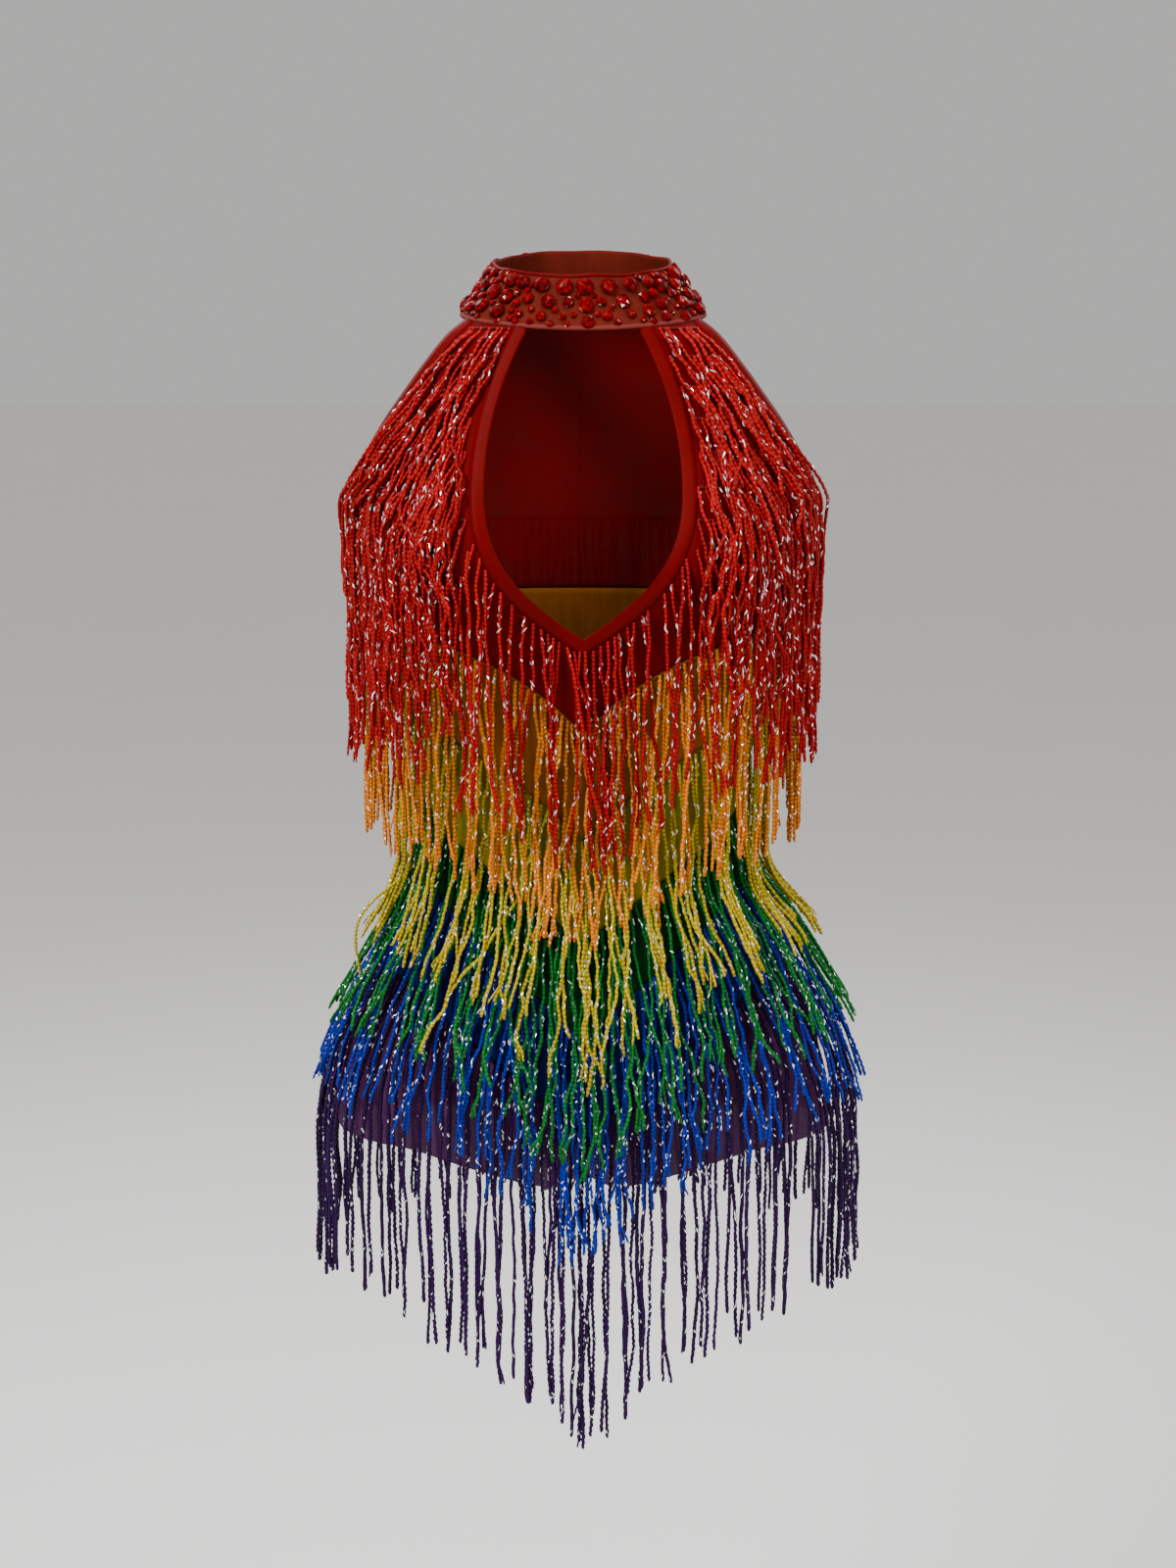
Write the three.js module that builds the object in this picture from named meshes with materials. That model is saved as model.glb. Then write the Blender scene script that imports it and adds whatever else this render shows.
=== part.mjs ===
// A halter-neck bodysuit of sheer stretch mesh in its worn shape: colour bands with a fringe on each seam.
// Millimetres. +Z is up, -Y is the front. The origin is on the neck's axis, at the middle of the collar.
// Every piece of cloth is a thin wall on one figure surface, given by an angle round the body and a height.
// Angle 0 is the centre front, +90 degrees is the +X side and 180 degrees is the centre back.
import * as THREE from 'three';

const CLOTH = 1.2; // thickness of a mesh panel
const SEAM = 0.3; // clear gap between two pieces
const BINDING = 1.0; // thickness of a binding
const KEYHOLE_BINDING_WIDTH = 8;
const ARMHOLE_BINDING_WIDTH = 7;
const TRIM = 1.6; // thickness of a fringe trim's heading
const TRIM_HEIGHT = 4;
const STRAND_WIDTH = 3.2;
const STRAND_DEPTH = 2.6;
const DEGREE = Math.PI / 180;
const QUARTER = 90 * DEGREE;

// The general figure: half width, front depth and back depth of its oval section at each height.
const figure = [
  { z: 30, width: 62, front: 56, back: 54 },
  { z: 5, width: 70, front: 60, back: 57 },
  { z: -9, width: 77, front: 64, back: 62 },
  { z: -24, width: 104, front: 68, back: 73 },
  { z: -42, width: 120, front: 74, back: 81 },
  { z: -61, width: 132, front: 79, back: 86 },
  { z: -80, width: 141, front: 84, back: 90 },
  { z: -110, width: 149, front: 90, back: 93 },
  { z: -132, width: 150, front: 92, back: 93 },
  { z: -165, width: 148, front: 93, back: 91 },
  { z: -200, width: 140, front: 91, back: 87 },
  { z: -235, width: 128, front: 88, back: 81 },
  { z: -270, width: 118, front: 85, back: 76 },
  { z: -310, width: 109, front: 82, back: 71 },
  { z: -350, width: 106, front: 82, back: 70 },
  { z: -390, width: 113, front: 86, back: 77 },
  { z: -430, width: 131, front: 92, back: 90 },
  { z: -470, width: 150, front: 97, back: 103 },
  { z: -510, width: 163, front: 99, back: 112 },
  { z: -540, width: 168, front: 98, back: 113 },
  { z: -565, width: 169, front: 94, back: 110 },
  { z: -595, width: 167, front: 82, back: 100 },
];
const OVAL = 2.2; // exponent of the oval, a little squarer than an ellipse
const BUST = { angle: 37 * DEGREE, z: -160, reach: 36, spread: 17 * DEGREE, above: 46, below: 32 };
// Between the thighs the surface turns in towards the crotch.
const GROIN = {
  spread: 0.3,
  front: { depth: 46, top: -515, height: 65 },
  back: { depth: 52, top: -525, height: 60 },
};
const CHEVRON_WIDTH = 1.45; // how far the columns are spread from the front towards the sides
const HALF_COLUMNS = 18; // columns of cloth in a front or a back
const COLUMNS = HALF_COLUMNS / 2; // in the right half of one

// Chevron seams: height at the sides and back, height at the centre front, how many degrees round the V
// reaches, and how pointed it is.
const seams = {
  red: { side: -150, centre: -224, limit: 40, power: 0.7 },
  orange: { side: -198, centre: -270, limit: 90, power: 2 },
  yellow: { side: -262, centre: -340, limit: 85, power: 1.6 },
  green: { side: -328, centre: -405, limit: 75, power: 1.1 },
  blue: { side: -382, centre: -467, limit: 65, power: 1.15 },
  purple: { side: -440, centre: -532, limit: 65, power: 1.15 },
};

// Fringe trims: how long the strands hang, where in its column each strand starts, how far off the cloth
// the heading is, and how much further out a strand lies for each millimetre down.
const fringes = [
  { colour: 'red', length: 136, start: 0.3, off: 1.7, lift: 0.09 },
  { colour: 'orange', length: 142, start: 0.7, off: 0.4, lift: 0.06 },
  { colour: 'yellow', length: 152, start: 0.3, off: 0.4, lift: 0.12 },
  { colour: 'green', length: 150, start: 0.7, off: 0.4, lift: 0.12 },
  { colour: 'blue', length: 150, start: 0.3, off: 0.4, lift: 0.1 },
  { colour: 'purple', length: 218, start: 0.7, off: 0.4, lift: 0.05 },
];
// Rows of red fringe across each halter strap: height, strands and their length.
const halterRows = [
  { z: -30, strands: 5, length: 92 },
  { z: -68, strands: 6, length: 84 },
  { z: -106, strands: 6, length: 78 },
];
// How they start clear of the bindings, lie off the strap, and drift out in degrees for each millimetre down.
const HALTER = {
  margin: 2,
  off: 0.4,
  lift: 0.14,
  innerDrift: 0.02,
  outerDrift: 0.1,
  cuts: [0.15, 0.4, 0.7, 1],
};
const LIE = 1.2; // gap between the cloth and a strand at its root
const CLEAR = 0.15; // least gap between a strand and the cloth under it
const STRAND_CUTS = [0.14, 0.45, 1]; // where a strand may bend, as shares of its length

// The keyhole: half width at its widest height, narrower towards the collar, and its point.
const KEYHOLE = { widest: 61, z: -114, top: -19, narrowing: 0.426, point: -209, power: 2.35 };
// The armhole's edge, as the angle that the cloth reaches at each height.
const armhole = [
  { z: 5, angle: 56 },
  { z: -16, angle: 58 },
  { z: -60, angle: 65 },
  { z: -100, angle: 73 },
  { z: -124, angle: 82 },
  { z: -132, angle: 90 },
];
const ARMHOLE_BOTTOM = -132;
// Rows of the red panels: heights of their ends at the keyhole or centre line and at the armhole or side.
const redRows = [
  { keyhole: -20, centre: 2, armhole: -15 },
  { keyhole: -40, centre: -12, armhole: -32 },
  { keyhole: -62, centre: -28, armhole: -50 },
  { keyhole: -85, centre: -44, armhole: -68 },
  { keyhole: -108, centre: -60, armhole: -85 },
  { keyhole: -130, centre: -76, armhole: -101 },
  { keyhole: -151, centre: -92, armhole: -114 },
  { keyhole: -171, centre: -107, armhole: -123 },
  { keyhole: -187, centre: -120, armhole: -128.5 },
  { keyhole: -200, centre: -131, armhole: -132 },
  { keyhole: -209, centre: -140, armhole: -139.5 },
  { keyhole: -218.6, centre: -152, armhole: -151 },
];
const FOOT_ROWS = 3; // more rows, from the last of these down to the orange seam
// Heights of the leg openings' edge at the front and side, and of the seams to the gusset.
// The edge falls to the front seam within a share of the way, and the brief's columns close in on the gusset.
const LEG = {
  front: -547,
  side: -553,
  frontSeam: -578,
  backSeam: -585,
  frontShare: 0.5,
  frontPower: 0.7,
  backPower: 1.6,
  closing: 1.2,
};
const GUSSET = { columns: 2, rows: 8, reach: 26 }; // columns of the brief's right half that it is sewn to
// The collar's lower edge, its upper ring, how far its middle is drawn in, and how far a stone stands out.
const COLLAR = {
  seam: -9,
  seamTilt: 11,
  middle: 21,
  tilt: 8,
  width: 56,
  front: 50,
  back: 52,
  drawn: 4,
  columns: 64,
  rows: 6,
  stone: 2.4,
};

const colours = {
  red: 0x8e0a10,
  orange: 0x9c5a08,
  yellow: 0x8e8408,
  green: 0x0a5a20,
  blue: 0x12247a,
  purple: 0x3c1e4a,
  binding: 0xa00812,
  stones: 0xb00a1c,
};
const strandColours = {
  red: 0xc81e1e,
  orange: 0xe08a1e,
  yellow: 0xc8a818,
  green: 0x1e8a3c,
  blue: 0x1e3cb4,
  purple: 0x3c1458,
};

const mix = (a, b, t) => a + (b - a) * t;
const clamp = (t) => Math.min(1, Math.max(0, t));

// A column of a table read at a height, on a smooth curve through its rows.
function along(table, z, column) {
  const last = table.length - 1;
  let i = 0;
  while (i < last - 1 && z < table[i + 1].z) i += 1;
  const slope = (k) => {
    const a = table[Math.max(0, k - 1)];
    const b = table[Math.min(last, k + 1)];
    return (b[column] - a[column]) / (b.z - a.z);
  };
  const [from, to] = [table[i], table[i + 1]];
  const step = to.z - from.z;
  const t = clamp((z - from.z) / step);
  const hermite = new THREE.Vector4(
    2 * t ** 3 - 3 * t ** 2 + 1,
    (t ** 3 - 2 * t ** 2 + t) * step,
    3 * t ** 2 - 2 * t ** 3,
    (t ** 3 - t ** 2) * step,
  );
  return hermite.dot(new THREE.Vector4(from[column], slope(i), to[column], slope(i + 1)));
}

// How far the figure's surface is from the neck's axis.
function radius(angle, z) {
  const depth = along(figure, z, Math.cos(angle) > 0 ? 'front' : 'back');
  const across = (Math.abs(Math.sin(angle)) / along(figure, z, 'width')) ** OVAL;
  const deep = (Math.abs(Math.cos(angle)) / depth) ** OVAL;
  const fall = (z - BUST.z) / (z > BUST.z ? BUST.above : BUST.below);
  const turn = Math.atan2(Math.sin(angle), Math.cos(angle));
  const lobe = (side) => Math.exp(-0.5 * ((turn - side * BUST.angle) / BUST.spread) ** 2 - 0.5 * fall ** 2);
  const groin = Math.cos(angle) > 0 ? GROIN.front : GROIN.back;
  const dip = groin.depth * clamp((groin.top - z) / groin.height) ** 2;
  const dent = dip * Math.exp(-0.5 * (Math.sin(angle) / GROIN.spread) ** 2);
  return (across + deep) ** (-1 / OVAL) + BUST.reach * (lobe(1) + lobe(-1)) - dent;
}

const place = (angle, z, r) => new THREE.Vector3(r * Math.sin(angle), -r * Math.cos(angle), z);
const onFigure = (angle, z) => place(angle, z, radius(angle, z));

function outward(angle, z) {
  const turn = 0.01;
  const drop = 0.5;
  const across = onFigure(angle + turn, z).sub(onFigure(angle - turn, z));
  const down = onFigure(angle, z - drop).sub(onFigure(angle, z + drop));
  return down.cross(across).normalize();
}

const lifted = (angle, z, lift) => onFigure(angle, z).addScaledVector(outward(angle, z), lift);

// The height of a seam at an angle: a V at the front that runs out level at its limit towards the sides.
function seamHeight(seam, angle) {
  const turn = Math.abs(Math.atan2(Math.sin(angle), Math.cos(angle)));
  return mix(seam.side, seam.centre, clamp(1 - turn / (seam.limit * DEGREE)) ** seam.power);
}

// Half the keyhole's width at a height, none below its point.
function keyholeHalfWidth(z) {
  if (z > KEYHOLE.z) {
    return KEYHOLE.widest * (1 - KEYHOLE.narrowing * ((z - KEYHOLE.z) / (KEYHOLE.top - KEYHOLE.z)) ** 2);
  }
  return KEYHOLE.widest * (1 - clamp((KEYHOLE.z - z) / (KEYHOLE.z - KEYHOLE.point)) ** KEYHOLE.power);
}

// The angle at which the figure's surface is a given distance from the centre plane.
function angleAt(x, z) {
  let [low, high] = [0, QUARTER];
  for (let i = 0; i < 40; i += 1) {
    const middle = (low + high) / 2;
    if (radius(middle, z) * Math.sin(middle) < x) low = middle;
    else high = middle;
  }
  return (low + high) / 2;
}

const keyholeAngle = (z) => angleAt(keyholeHalfWidth(z), z);
const armholeAngle = (z) => (z > ARMHOLE_BOTTOM ? along(armhole, z, 'angle') * DEGREE : QUARTER);
const collarSeam = (angle) => COLLAR.seam - COLLAR.seamTilt * Math.cos(angle);

// The columns of a half, from the centre to the side, closer together at the side.
const columnAngle = (share) =>
  share >= 1 ? QUARTER : Math.atan(CHEVRON_WIDTH * Math.tan(share * QUARTER));

// A sheet is a list of points, each with its outer and its inner place, and a list of faces.
// A face runs anticlockwise seen from outside. One of four corners is cut from its second to its fourth.
function grid(rows, columns, at) {
  const sheet = { points: [], faces: [] };
  for (let i = 0; i <= rows; i += 1) {
    for (let j = 0; j <= columns; j += 1) sheet.points.push(at(i, j));
  }
  const index = (i, j) => i * (columns + 1) + j;
  for (let i = 0; i < rows; i += 1) {
    for (let j = 0; j < columns; j += 1) {
      sheet.faces.push([index(i, j), index(i + 1, j), index(i + 1, j + 1), index(i, j + 1)]);
    }
  }
  return sheet;
}

// The same sheet on the other side of the centre plane.
const turnedOver = ([first, ...rest]) => [first, ...rest.reverse()];
function mirrored({ points, faces }) {
  const flip = (p) => new THREE.Vector3(-p.x, p.y, p.z);
  return {
    points: points.map(({ outer, inner }) => ({ outer: flip(outer), inner: flip(inner) })),
    faces: faces.map(turnedOver),
  };
}

// One closed wall from sheets that share the points that coincide. Every free edge gets a rim.
function wall(...sheets) {
  const points = [];
  const found = new Map();
  const faces = [];
  const edges = new Set();
  const use = (point) => {
    const key = point.outer.toArray().map((v) => Math.round(v * 1000) + 0).join();
    if (!found.has(key)) {
      found.set(key, points.length);
      points.push(point);
    }
    return found.get(key);
  };
  for (const sheet of sheets) {
    for (const face of sheet.faces) {
      const loop = face.map((corner) => use(sheet.points[corner]));
      loop.forEach((corner, k) => edges.add(`${corner},${loop[(k + 1) % loop.length]}`));
      const [first, second, third, fourth] = loop;
      if (fourth === undefined) faces.push([first, second, third]);
      else faces.push([first, second, fourth], [second, third, fourth]);
    }
  }
  const inner = points.length;
  const corners = faces.flat();
  for (const [p, q, r] of faces) corners.push(inner + p, inner + r, inner + q);
  for (const edge of edges) {
    const [p, q] = edge.split(',').map(Number);
    if (!edges.has(`${q},${p}`)) corners.push(q, p, inner + p, q, inner + p, inner + q);
  }
  return solid([...points.map((p) => p.outer), ...points.map((p) => p.inner)], corners);
}

function solid(points, faces) {
  const geometry = new THREE.BufferGeometry();
  geometry.setAttribute('position', new THREE.Float32BufferAttribute(points.flatMap((p) => p.toArray()), 3));
  geometry.setIndex(faces);
  return geometry;
}

function flipped(geometry) {
  const other = geometry.clone().scale(-1, 1, 1);
  other.index.array.reverse();
  return other;
}

// A point of cloth whose outer face is on the figure, raised by lift.
const cloth = (angle, z, lift = 0, thickness = CLOTH) => ({
  outer: lifted(angle, z, lift),
  inner: lifted(angle, z, lift - thickness),
});

const piece = new THREE.Group();
function add(name, geometry, colour, roughness = 0.8) {
  const material = new THREE.MeshStandardMaterial({ color: colour, roughness, metalness: 0 });
  const mesh = new THREE.Mesh(geometry, material);
  mesh.name = name;
  piece.add(mesh);
}

// The angle of a column of the right half, front or back. The side seam's gap is half in each.
const SIDE_GAP = SEAM / 2 / 150; // half of a side seam's gap, as an angle on the widest body
const turned = (angle, back) => (back ? Math.PI - angle : angle);
function rightSheet(rows, back, at) {
  const sheet = grid(rows, COLUMNS, at);
  if (back) sheet.faces = sheet.faces.map(turnedOver);
  return sheet;
}
const bothSides = (sheet) => wall(sheet, mirrored(sheet));

// The front and back halves of a band between two seams, parted by the side seams.
function band(colour, top, bottom, rows, narrowed = (angle) => angle) {
  for (const half of ['front', 'back']) {
    const back = half === 'back';
    const sheet = rightSheet(rows, back, (i, j) => {
      const column = columnAngle(j / COLUMNS);
      const share = i / rows;
      const from = mix(column, narrowed(column), share ** 2);
      const angle = turned(Math.min(from, QUARTER - SIDE_GAP), back);
      return cloth(angle, mix(top(angle) - SEAM / 2, bottom(angle) + SEAM / 2, share));
    });
    add(`${half}_${colour}`, bothSides(sheet), colours[colour]);
  }
}

const POINT_ROW = redRows.findIndex((row) => row.keyhole === KEYHOLE.point);
const CORNER_ROW = redRows.findIndex((row) => row.armhole === ARMHOLE_BOTTOM);

// The place a width away from an edge of cloth, square to the edge. The edge gives an angle for each height.
function beside(edge, z, width) {
  const step = 0.2;
  const here = onFigure(edge(z), z);
  const run = here.clone().sub(onFigure(edge(z + step), z + step)).normalize();
  const away = outward(edge(z), z).cross(run).multiplyScalar(width);
  const moved = here.add(away);
  return [Math.atan2(moved.x, -moved.y), moved.z];
}

// One row of the red panel's right half, as an angle from the centre line and a height for each column.
function redRow(i, back) {
  if (i >= redRows.length) {
    const share = (i + 1 - redRows.length) / FOOT_ROWS;
    return redRow(redRows.length - 1, back).map(([angle, z], j) => {
      const foot = columnAngle(j / COLUMNS);
      const seam = seamHeight(seams.orange, turned(foot, back)) + SEAM / 2;
      return [mix(angle, foot, share), mix(z, seam, share)];
    });
  }
  const { keyhole, centre, armhole: side } = redRows[i];
  const from = back ? [0, centre] : [keyhole > KEYHOLE.point ? keyholeAngle(keyhole) : 0, keyhole];
  const to = [armholeAngle(side), side];
  const innerStrip = back || i > POINT_ROW ? null : beside(keyholeAngle, keyhole, KEYHOLE_BINDING_WIDTH);
  const outerStrip = i > CORNER_ROW ? null : beside(armholeAngle, side, -ARMHOLE_BINDING_WIDTH);
  const row = [];
  for (let j = 0; j <= COLUMNS; j += 1) {
    let point;
    if (j === 0) point = from;
    else if (j === COLUMNS) point = to;
    else if (j === 1 && innerStrip) point = innerStrip;
    else if (j === COLUMNS - 1 && outerStrip) point = outerStrip;
    else {
      const [a, start] = innerStrip ? [innerStrip, 1] : [from, 0];
      const [b, end] = outerStrip ? [outerStrip, COLUMNS - 1] : [to, COLUMNS];
      const share = (j - start) / (end - start);
      point = [mix(a[0], b[0], share), mix(a[1], b[1], share)];
    }
    row.push(point);
  }
  if (i === 0) {
    return row.map(([angle]) => [angle, collarSeam(turned(angle, back)) - SEAM]);
  }
  return row;
}
function redSheet(back, lift, thickness, gap) {
  const rows = [...Array(redRows.length + FOOT_ROWS).keys()].map((i) => redRow(i, back));
  const sheet = rightSheet(rows.length - 1, back, (i, j) => {
    const [angle, z] = rows[i][j];
    return cloth(turned(Math.min(angle, QUARTER - gap), back), z, lift, thickness);
  });
  const corner = (CORNER_ROW + 1) * COLUMNS - 1;
  const [first, ...rest] = sheet.faces[corner];
  sheet.faces[corner] = [...rest, first];
  return sheet;
}
function redPanels() {
  for (const half of ['front', 'back']) {
    add(`${half}_red`, bothSides(redSheet(half === 'back', 0, CLOTH, SIDE_GAP)), colours.red);
  }
}

// A binding is one column of a red panel moved out. It starts just below the collar, and half of its last
// face is its mitre.
function binding(back, column, lastRow, mitre) {
  const sheet = redSheet(back, SEAM + BINDING, BINDING, 0);
  const start = 0.15; // where it starts, as a share of the panel's first row
  const lower = (top, below) => ({
    outer: top.outer.clone().lerp(below.outer, start),
    inner: top.inner.clone().lerp(below.inner, start),
  });
  for (const j of [column, column + 1]) {
    sheet.points[j] = lower(sheet.points[j], sheet.points[j + COLUMNS + 1]);
  }
  const strip = [...Array(lastRow).keys()].map((i) => sheet.faces[i * COLUMNS + column]);
  const last = sheet.faces[lastRow * COLUMNS + column];
  strip.push(mitre.map((corner) => last[corner]));
  return { points: sheet.points, faces: strip };
}
function bindings() {
  const keyhole = binding(false, 0, POINT_ROW, [0, 1, 3]);
  add('keyhole_binding', bothSides(keyhole), colours.binding, 0.5);
  const front = binding(false, COLUMNS - 1, CORNER_ROW, [3, 1, 2]);
  const back = binding(true, COLUMNS - 1, CORNER_ROW, [3, 0, 1]);
  add('armhole_binding_right', wall(front, back), colours.binding, 0.5);
  add('armhole_binding_left', wall(mirrored(front), mirrored(back)), colours.binding, 0.5);
}

// The brief's lower edge: the leg openings, and the short seams that join it to the gusset.
const legAngle = (angle) => QUARTER * (angle / QUARTER) ** LEG.closing;
const GUSSET_ANGLE = legAngle(columnAngle(GUSSET.columns / COLUMNS));
function legHeight(angle) {
  const turn = Math.abs(Math.atan2(Math.sin(angle), Math.cos(angle)));
  const back = turn > QUARTER;
  const fromCentre = back ? Math.PI - turn : turn;
  const seam = back ? LEG.backSeam : LEG.frontSeam;
  if (fromCentre <= GUSSET_ANGLE + 0.001) return seam;
  const t = (fromCentre - GUSSET_ANGLE) / (QUARTER - GUSSET_ANGLE);
  if (back) return mix(seam, LEG.side, t ** LEG.backPower);
  return mix(seam, mix(LEG.front, LEG.side, t ** 2), clamp(t / LEG.frontShare) ** LEG.frontPower);
}

// The gusset follows a curve under the body from the front seam to the back seam.
function gusset() {
  const { rows, reach } = GUSSET;
  const columns = [];
  for (let k = -GUSSET.columns; k <= GUSSET.columns; k += 1) columns.push(k);
  const curves = columns.map((k) => {
    const angle = Math.sign(k) * legAngle(columnAngle(Math.abs(k) / COLUMNS));
    const [z0, z3] = [LEG.frontSeam - 2 * SEAM, LEG.backSeam - 2 * SEAM];
    const [start, end] = [onFigure(angle, z0), onFigure(Math.PI - angle, z3)];
    const heading = (turn, z) => onFigure(turn, z - 1).sub(onFigure(turn, z)).normalize();
    const first = start.clone().addScaledVector(heading(angle, z0), reach);
    const last = end.clone().addScaledVector(heading(Math.PI - angle, z3), reach);
    return new THREE.CubicBezierCurve3(start, first, last, end);
  });
  const sheet = grid(rows, columns.length - 1, (i, j) => {
    const outer = curves[j].getPoint(i / rows);
    const run = curves[j].getTangent(i / rows);
    const normal = new THREE.Vector3(0, run.z, -run.y).normalize();
    return { outer, inner: outer.clone().addScaledVector(normal, -CLOTH) };
  });
  add('gusset', wall(sheet), colours.purple);
}

// The collar: a band from the neck seam up to a smaller ring. Staggered outer points are raised into stones
// over a plain inside.
function collar() {
  const { columns, rows } = COLLAR;
  const at = (i, j) => {
    const angle = ((j % columns) / columns) * 2 * Math.PI;
    const seam = onFigure(angle, collarSeam(angle));
    const facing = Math.cos(angle) > 0 ? COLLAR.front : COLLAR.back;
    const rim = new THREE.Vector3(
      COLLAR.width * Math.sin(angle),
      -facing * Math.cos(angle),
      COLLAR.middle - COLLAR.tilt * Math.cos(angle),
    );
    const rise = 1 - i / rows;
    const middle = seam.clone().lerp(rim, rise);
    const run = rim.clone().sub(seam);
    const round = new THREE.Vector3(Math.cos(angle), Math.sin(angle), 0);
    const normal = round.cross(run).normalize();
    middle.addScaledVector(normal, -COLLAR.drawn * rise * (1 - rise));
    const stone = i % 2 === 1 && (j + (i - 1) / 2) % 2 === 0 ? COLLAR.stone : 0;
    return {
      outer: middle.clone().addScaledVector(normal, stone),
      inner: middle.clone().addScaledVector(normal, -CLOTH),
    };
  };
  add('collar', wall(grid(rows, columns, at)), colours.stones, 0.35);
}

// How far out the cloth made so far reaches at an angle and a height, or the figure where no cloth is.
const ray = new THREE.Raycaster();
function clothRadius(angle, z) {
  const start = 400;
  ray.set(place(angle, z, start), place(angle, 0, -1));
  const [hit] = ray.intersectObjects(cover, false);
  return hit ? start - hit.distance : radius(angle, z);
}

// How far out a hanging strand lies: straight down from its root, unless a wider body below pushes it out.
// It has a corner at each cut, far enough out for the straight run above it to clear the cloth.
function hang(angleAtDrop, top, root, length, lift, cuts) {
  const rings = [];
  const step = 4;
  const samples = [];
  let before = { drop: 0, out: root };
  let out = 0;
  for (let drop = step; rings.length < cuts.length; drop += step) {
    const z = top - drop;
    const angle = angleAtDrop(drop);
    const cover = clothRadius(angle, z);
    samples.push({ drop, least: cover + CLEAR });
    out = Math.max(out, cover + LIE + lift * drop);
    if (drop >= cuts[rings.length] * length) {
      const pushed = samples.map((sample) => {
        const share = (sample.drop - before.drop) / (drop - before.drop);
        return mix(before.out, sample.least, 1 / share);
      });
      out = Math.max(out, ...pushed);
      rings.push({ angle, z, out });
      before = { drop, out };
      samples.length = 0;
    }
  }
  return rings;
}

// A fringe trim: a narrow heading along a line on the cloth, a strand of three sides fused into each column.
function trim(edges, height, near, share, strandRings, closed) {
  const points = [];
  const faces = [];
  const put = (point) => points.push(point) - 1;
  const corner = (k, up, lift) => {
    const rise = up * (TRIM_HEIGHT / 2);
    const [before, after] = [edges[Math.max(0, k - 1)], edges[Math.min(edges.length - 1, k + 1)]];
    const level = height(edges[k]) + rise;
    const covered = [before, after].flatMap((end) =>
      [0, 0.25, 0.5].map((t) => clothRadius(mix(edges[k], end, t), mix(level, height(end) + rise, t))),
    );
    return put(place(edges[k], level, Math.max(...covered) + lift));
  };
  const posts = edges.slice(0, closed ? -1 : undefined).map((_, k) => ({
    topOut: corner(k, 1, near + TRIM),
    topIn: corner(k, 1, near),
    lowOut: corner(k, -1, near + TRIM),
    lowIn: corner(k, -1, near),
  }));
  const fan = (...loop) => {
    for (let k = 1; k + 1 < loop.length; k += 1) faces.push(loop[0], loop[k], loop[k + 1]);
  };
  const rootRadius = (index) => Math.hypot(points[index].x, points[index].y);
  const between = (a, b, t) => put(points[a].clone().lerp(points[b], t));
  for (let k = 0; k + 1 < edges.length; k += 1) {
    const left = posts[k];
    const right = posts[(k + 1) % posts.length];
    const width = points[left.lowOut].distanceTo(points[right.lowOut]);
    const half = STRAND_WIDTH / 2 / width;
    const start = Math.sin((edges[k] + edges[k + 1]) / 2) > 0 ? share : 1 - share;
    let ring = [
      between(left.lowOut, right.lowOut, start - half),
      between(left.lowOut, right.lowOut, start + half),
      between(left.lowIn, right.lowIn, start),
    ];
    fan(left.topOut, left.lowOut, ring[0], ring[1], right.lowOut, right.topOut);
    fan(left.topIn, right.topIn, right.lowIn, ring[2], left.lowIn);
    fan(left.topOut, right.topOut, right.topIn, left.topIn);
    fan(left.lowOut, left.lowIn, ring[2], ring[0]);
    fan(ring[1], ring[2], right.lowIn, right.lowOut);
    for (const { angle, z, out } of strandRings(mix(edges[k], edges[k + 1], start), rootRadius(ring[2]))) {
      const sideways = new THREE.Vector3(Math.cos(angle), Math.sin(angle), 0);
      const face = place(angle, z, out + STRAND_DEPTH);
      const next = [
        put(face.clone().addScaledVector(sideways, -STRAND_WIDTH / 2)),
        put(face.clone().addScaledVector(sideways, STRAND_WIDTH / 2)),
        put(place(angle, z, out)),
      ];
      for (const [p, q] of [[0, 1], [1, 2], [2, 0]]) fan(ring[p], next[p], next[q], ring[q]);
      ring = next;
    }
    fan(ring[0], ring[2], ring[1]);
  }
  if (!closed) {
    const [first, last] = [posts[0], posts[posts.length - 1]];
    fan(first.topOut, first.topIn, first.lowIn, first.lowOut);
    fan(last.topOut, last.lowOut, last.lowIn, last.topIn);
  }
  return solid(points, faces);
}

function fringeRings() {
  const edges = [];
  for (let j = 0; j < 2 * HALF_COLUMNS; j += 1) {
    const back = j >= HALF_COLUMNS;
    const column = (j % HALF_COLUMNS) - COLUMNS;
    const angle = Math.sign(column) * columnAngle(Math.abs(column) / COLUMNS);
    edges.push(back ? Math.PI + angle : angle);
  }
  edges.push(edges[0] + 2 * Math.PI);
  for (const { colour, length, start, off, lift } of fringes) {
    const height = (angle) => seamHeight(seams[colour], angle) - SEAM;
    const strands = (angle, root) => {
      const top = height(angle) - TRIM_HEIGHT / 2;
      return hang(() => angle, top, root, length, lift, STRAND_CUTS);
    };
    add(`fringe_${colour}`, trim(edges, height, off, start, strands, true), strandColours[colour], 0.6);
  }
}

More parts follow.
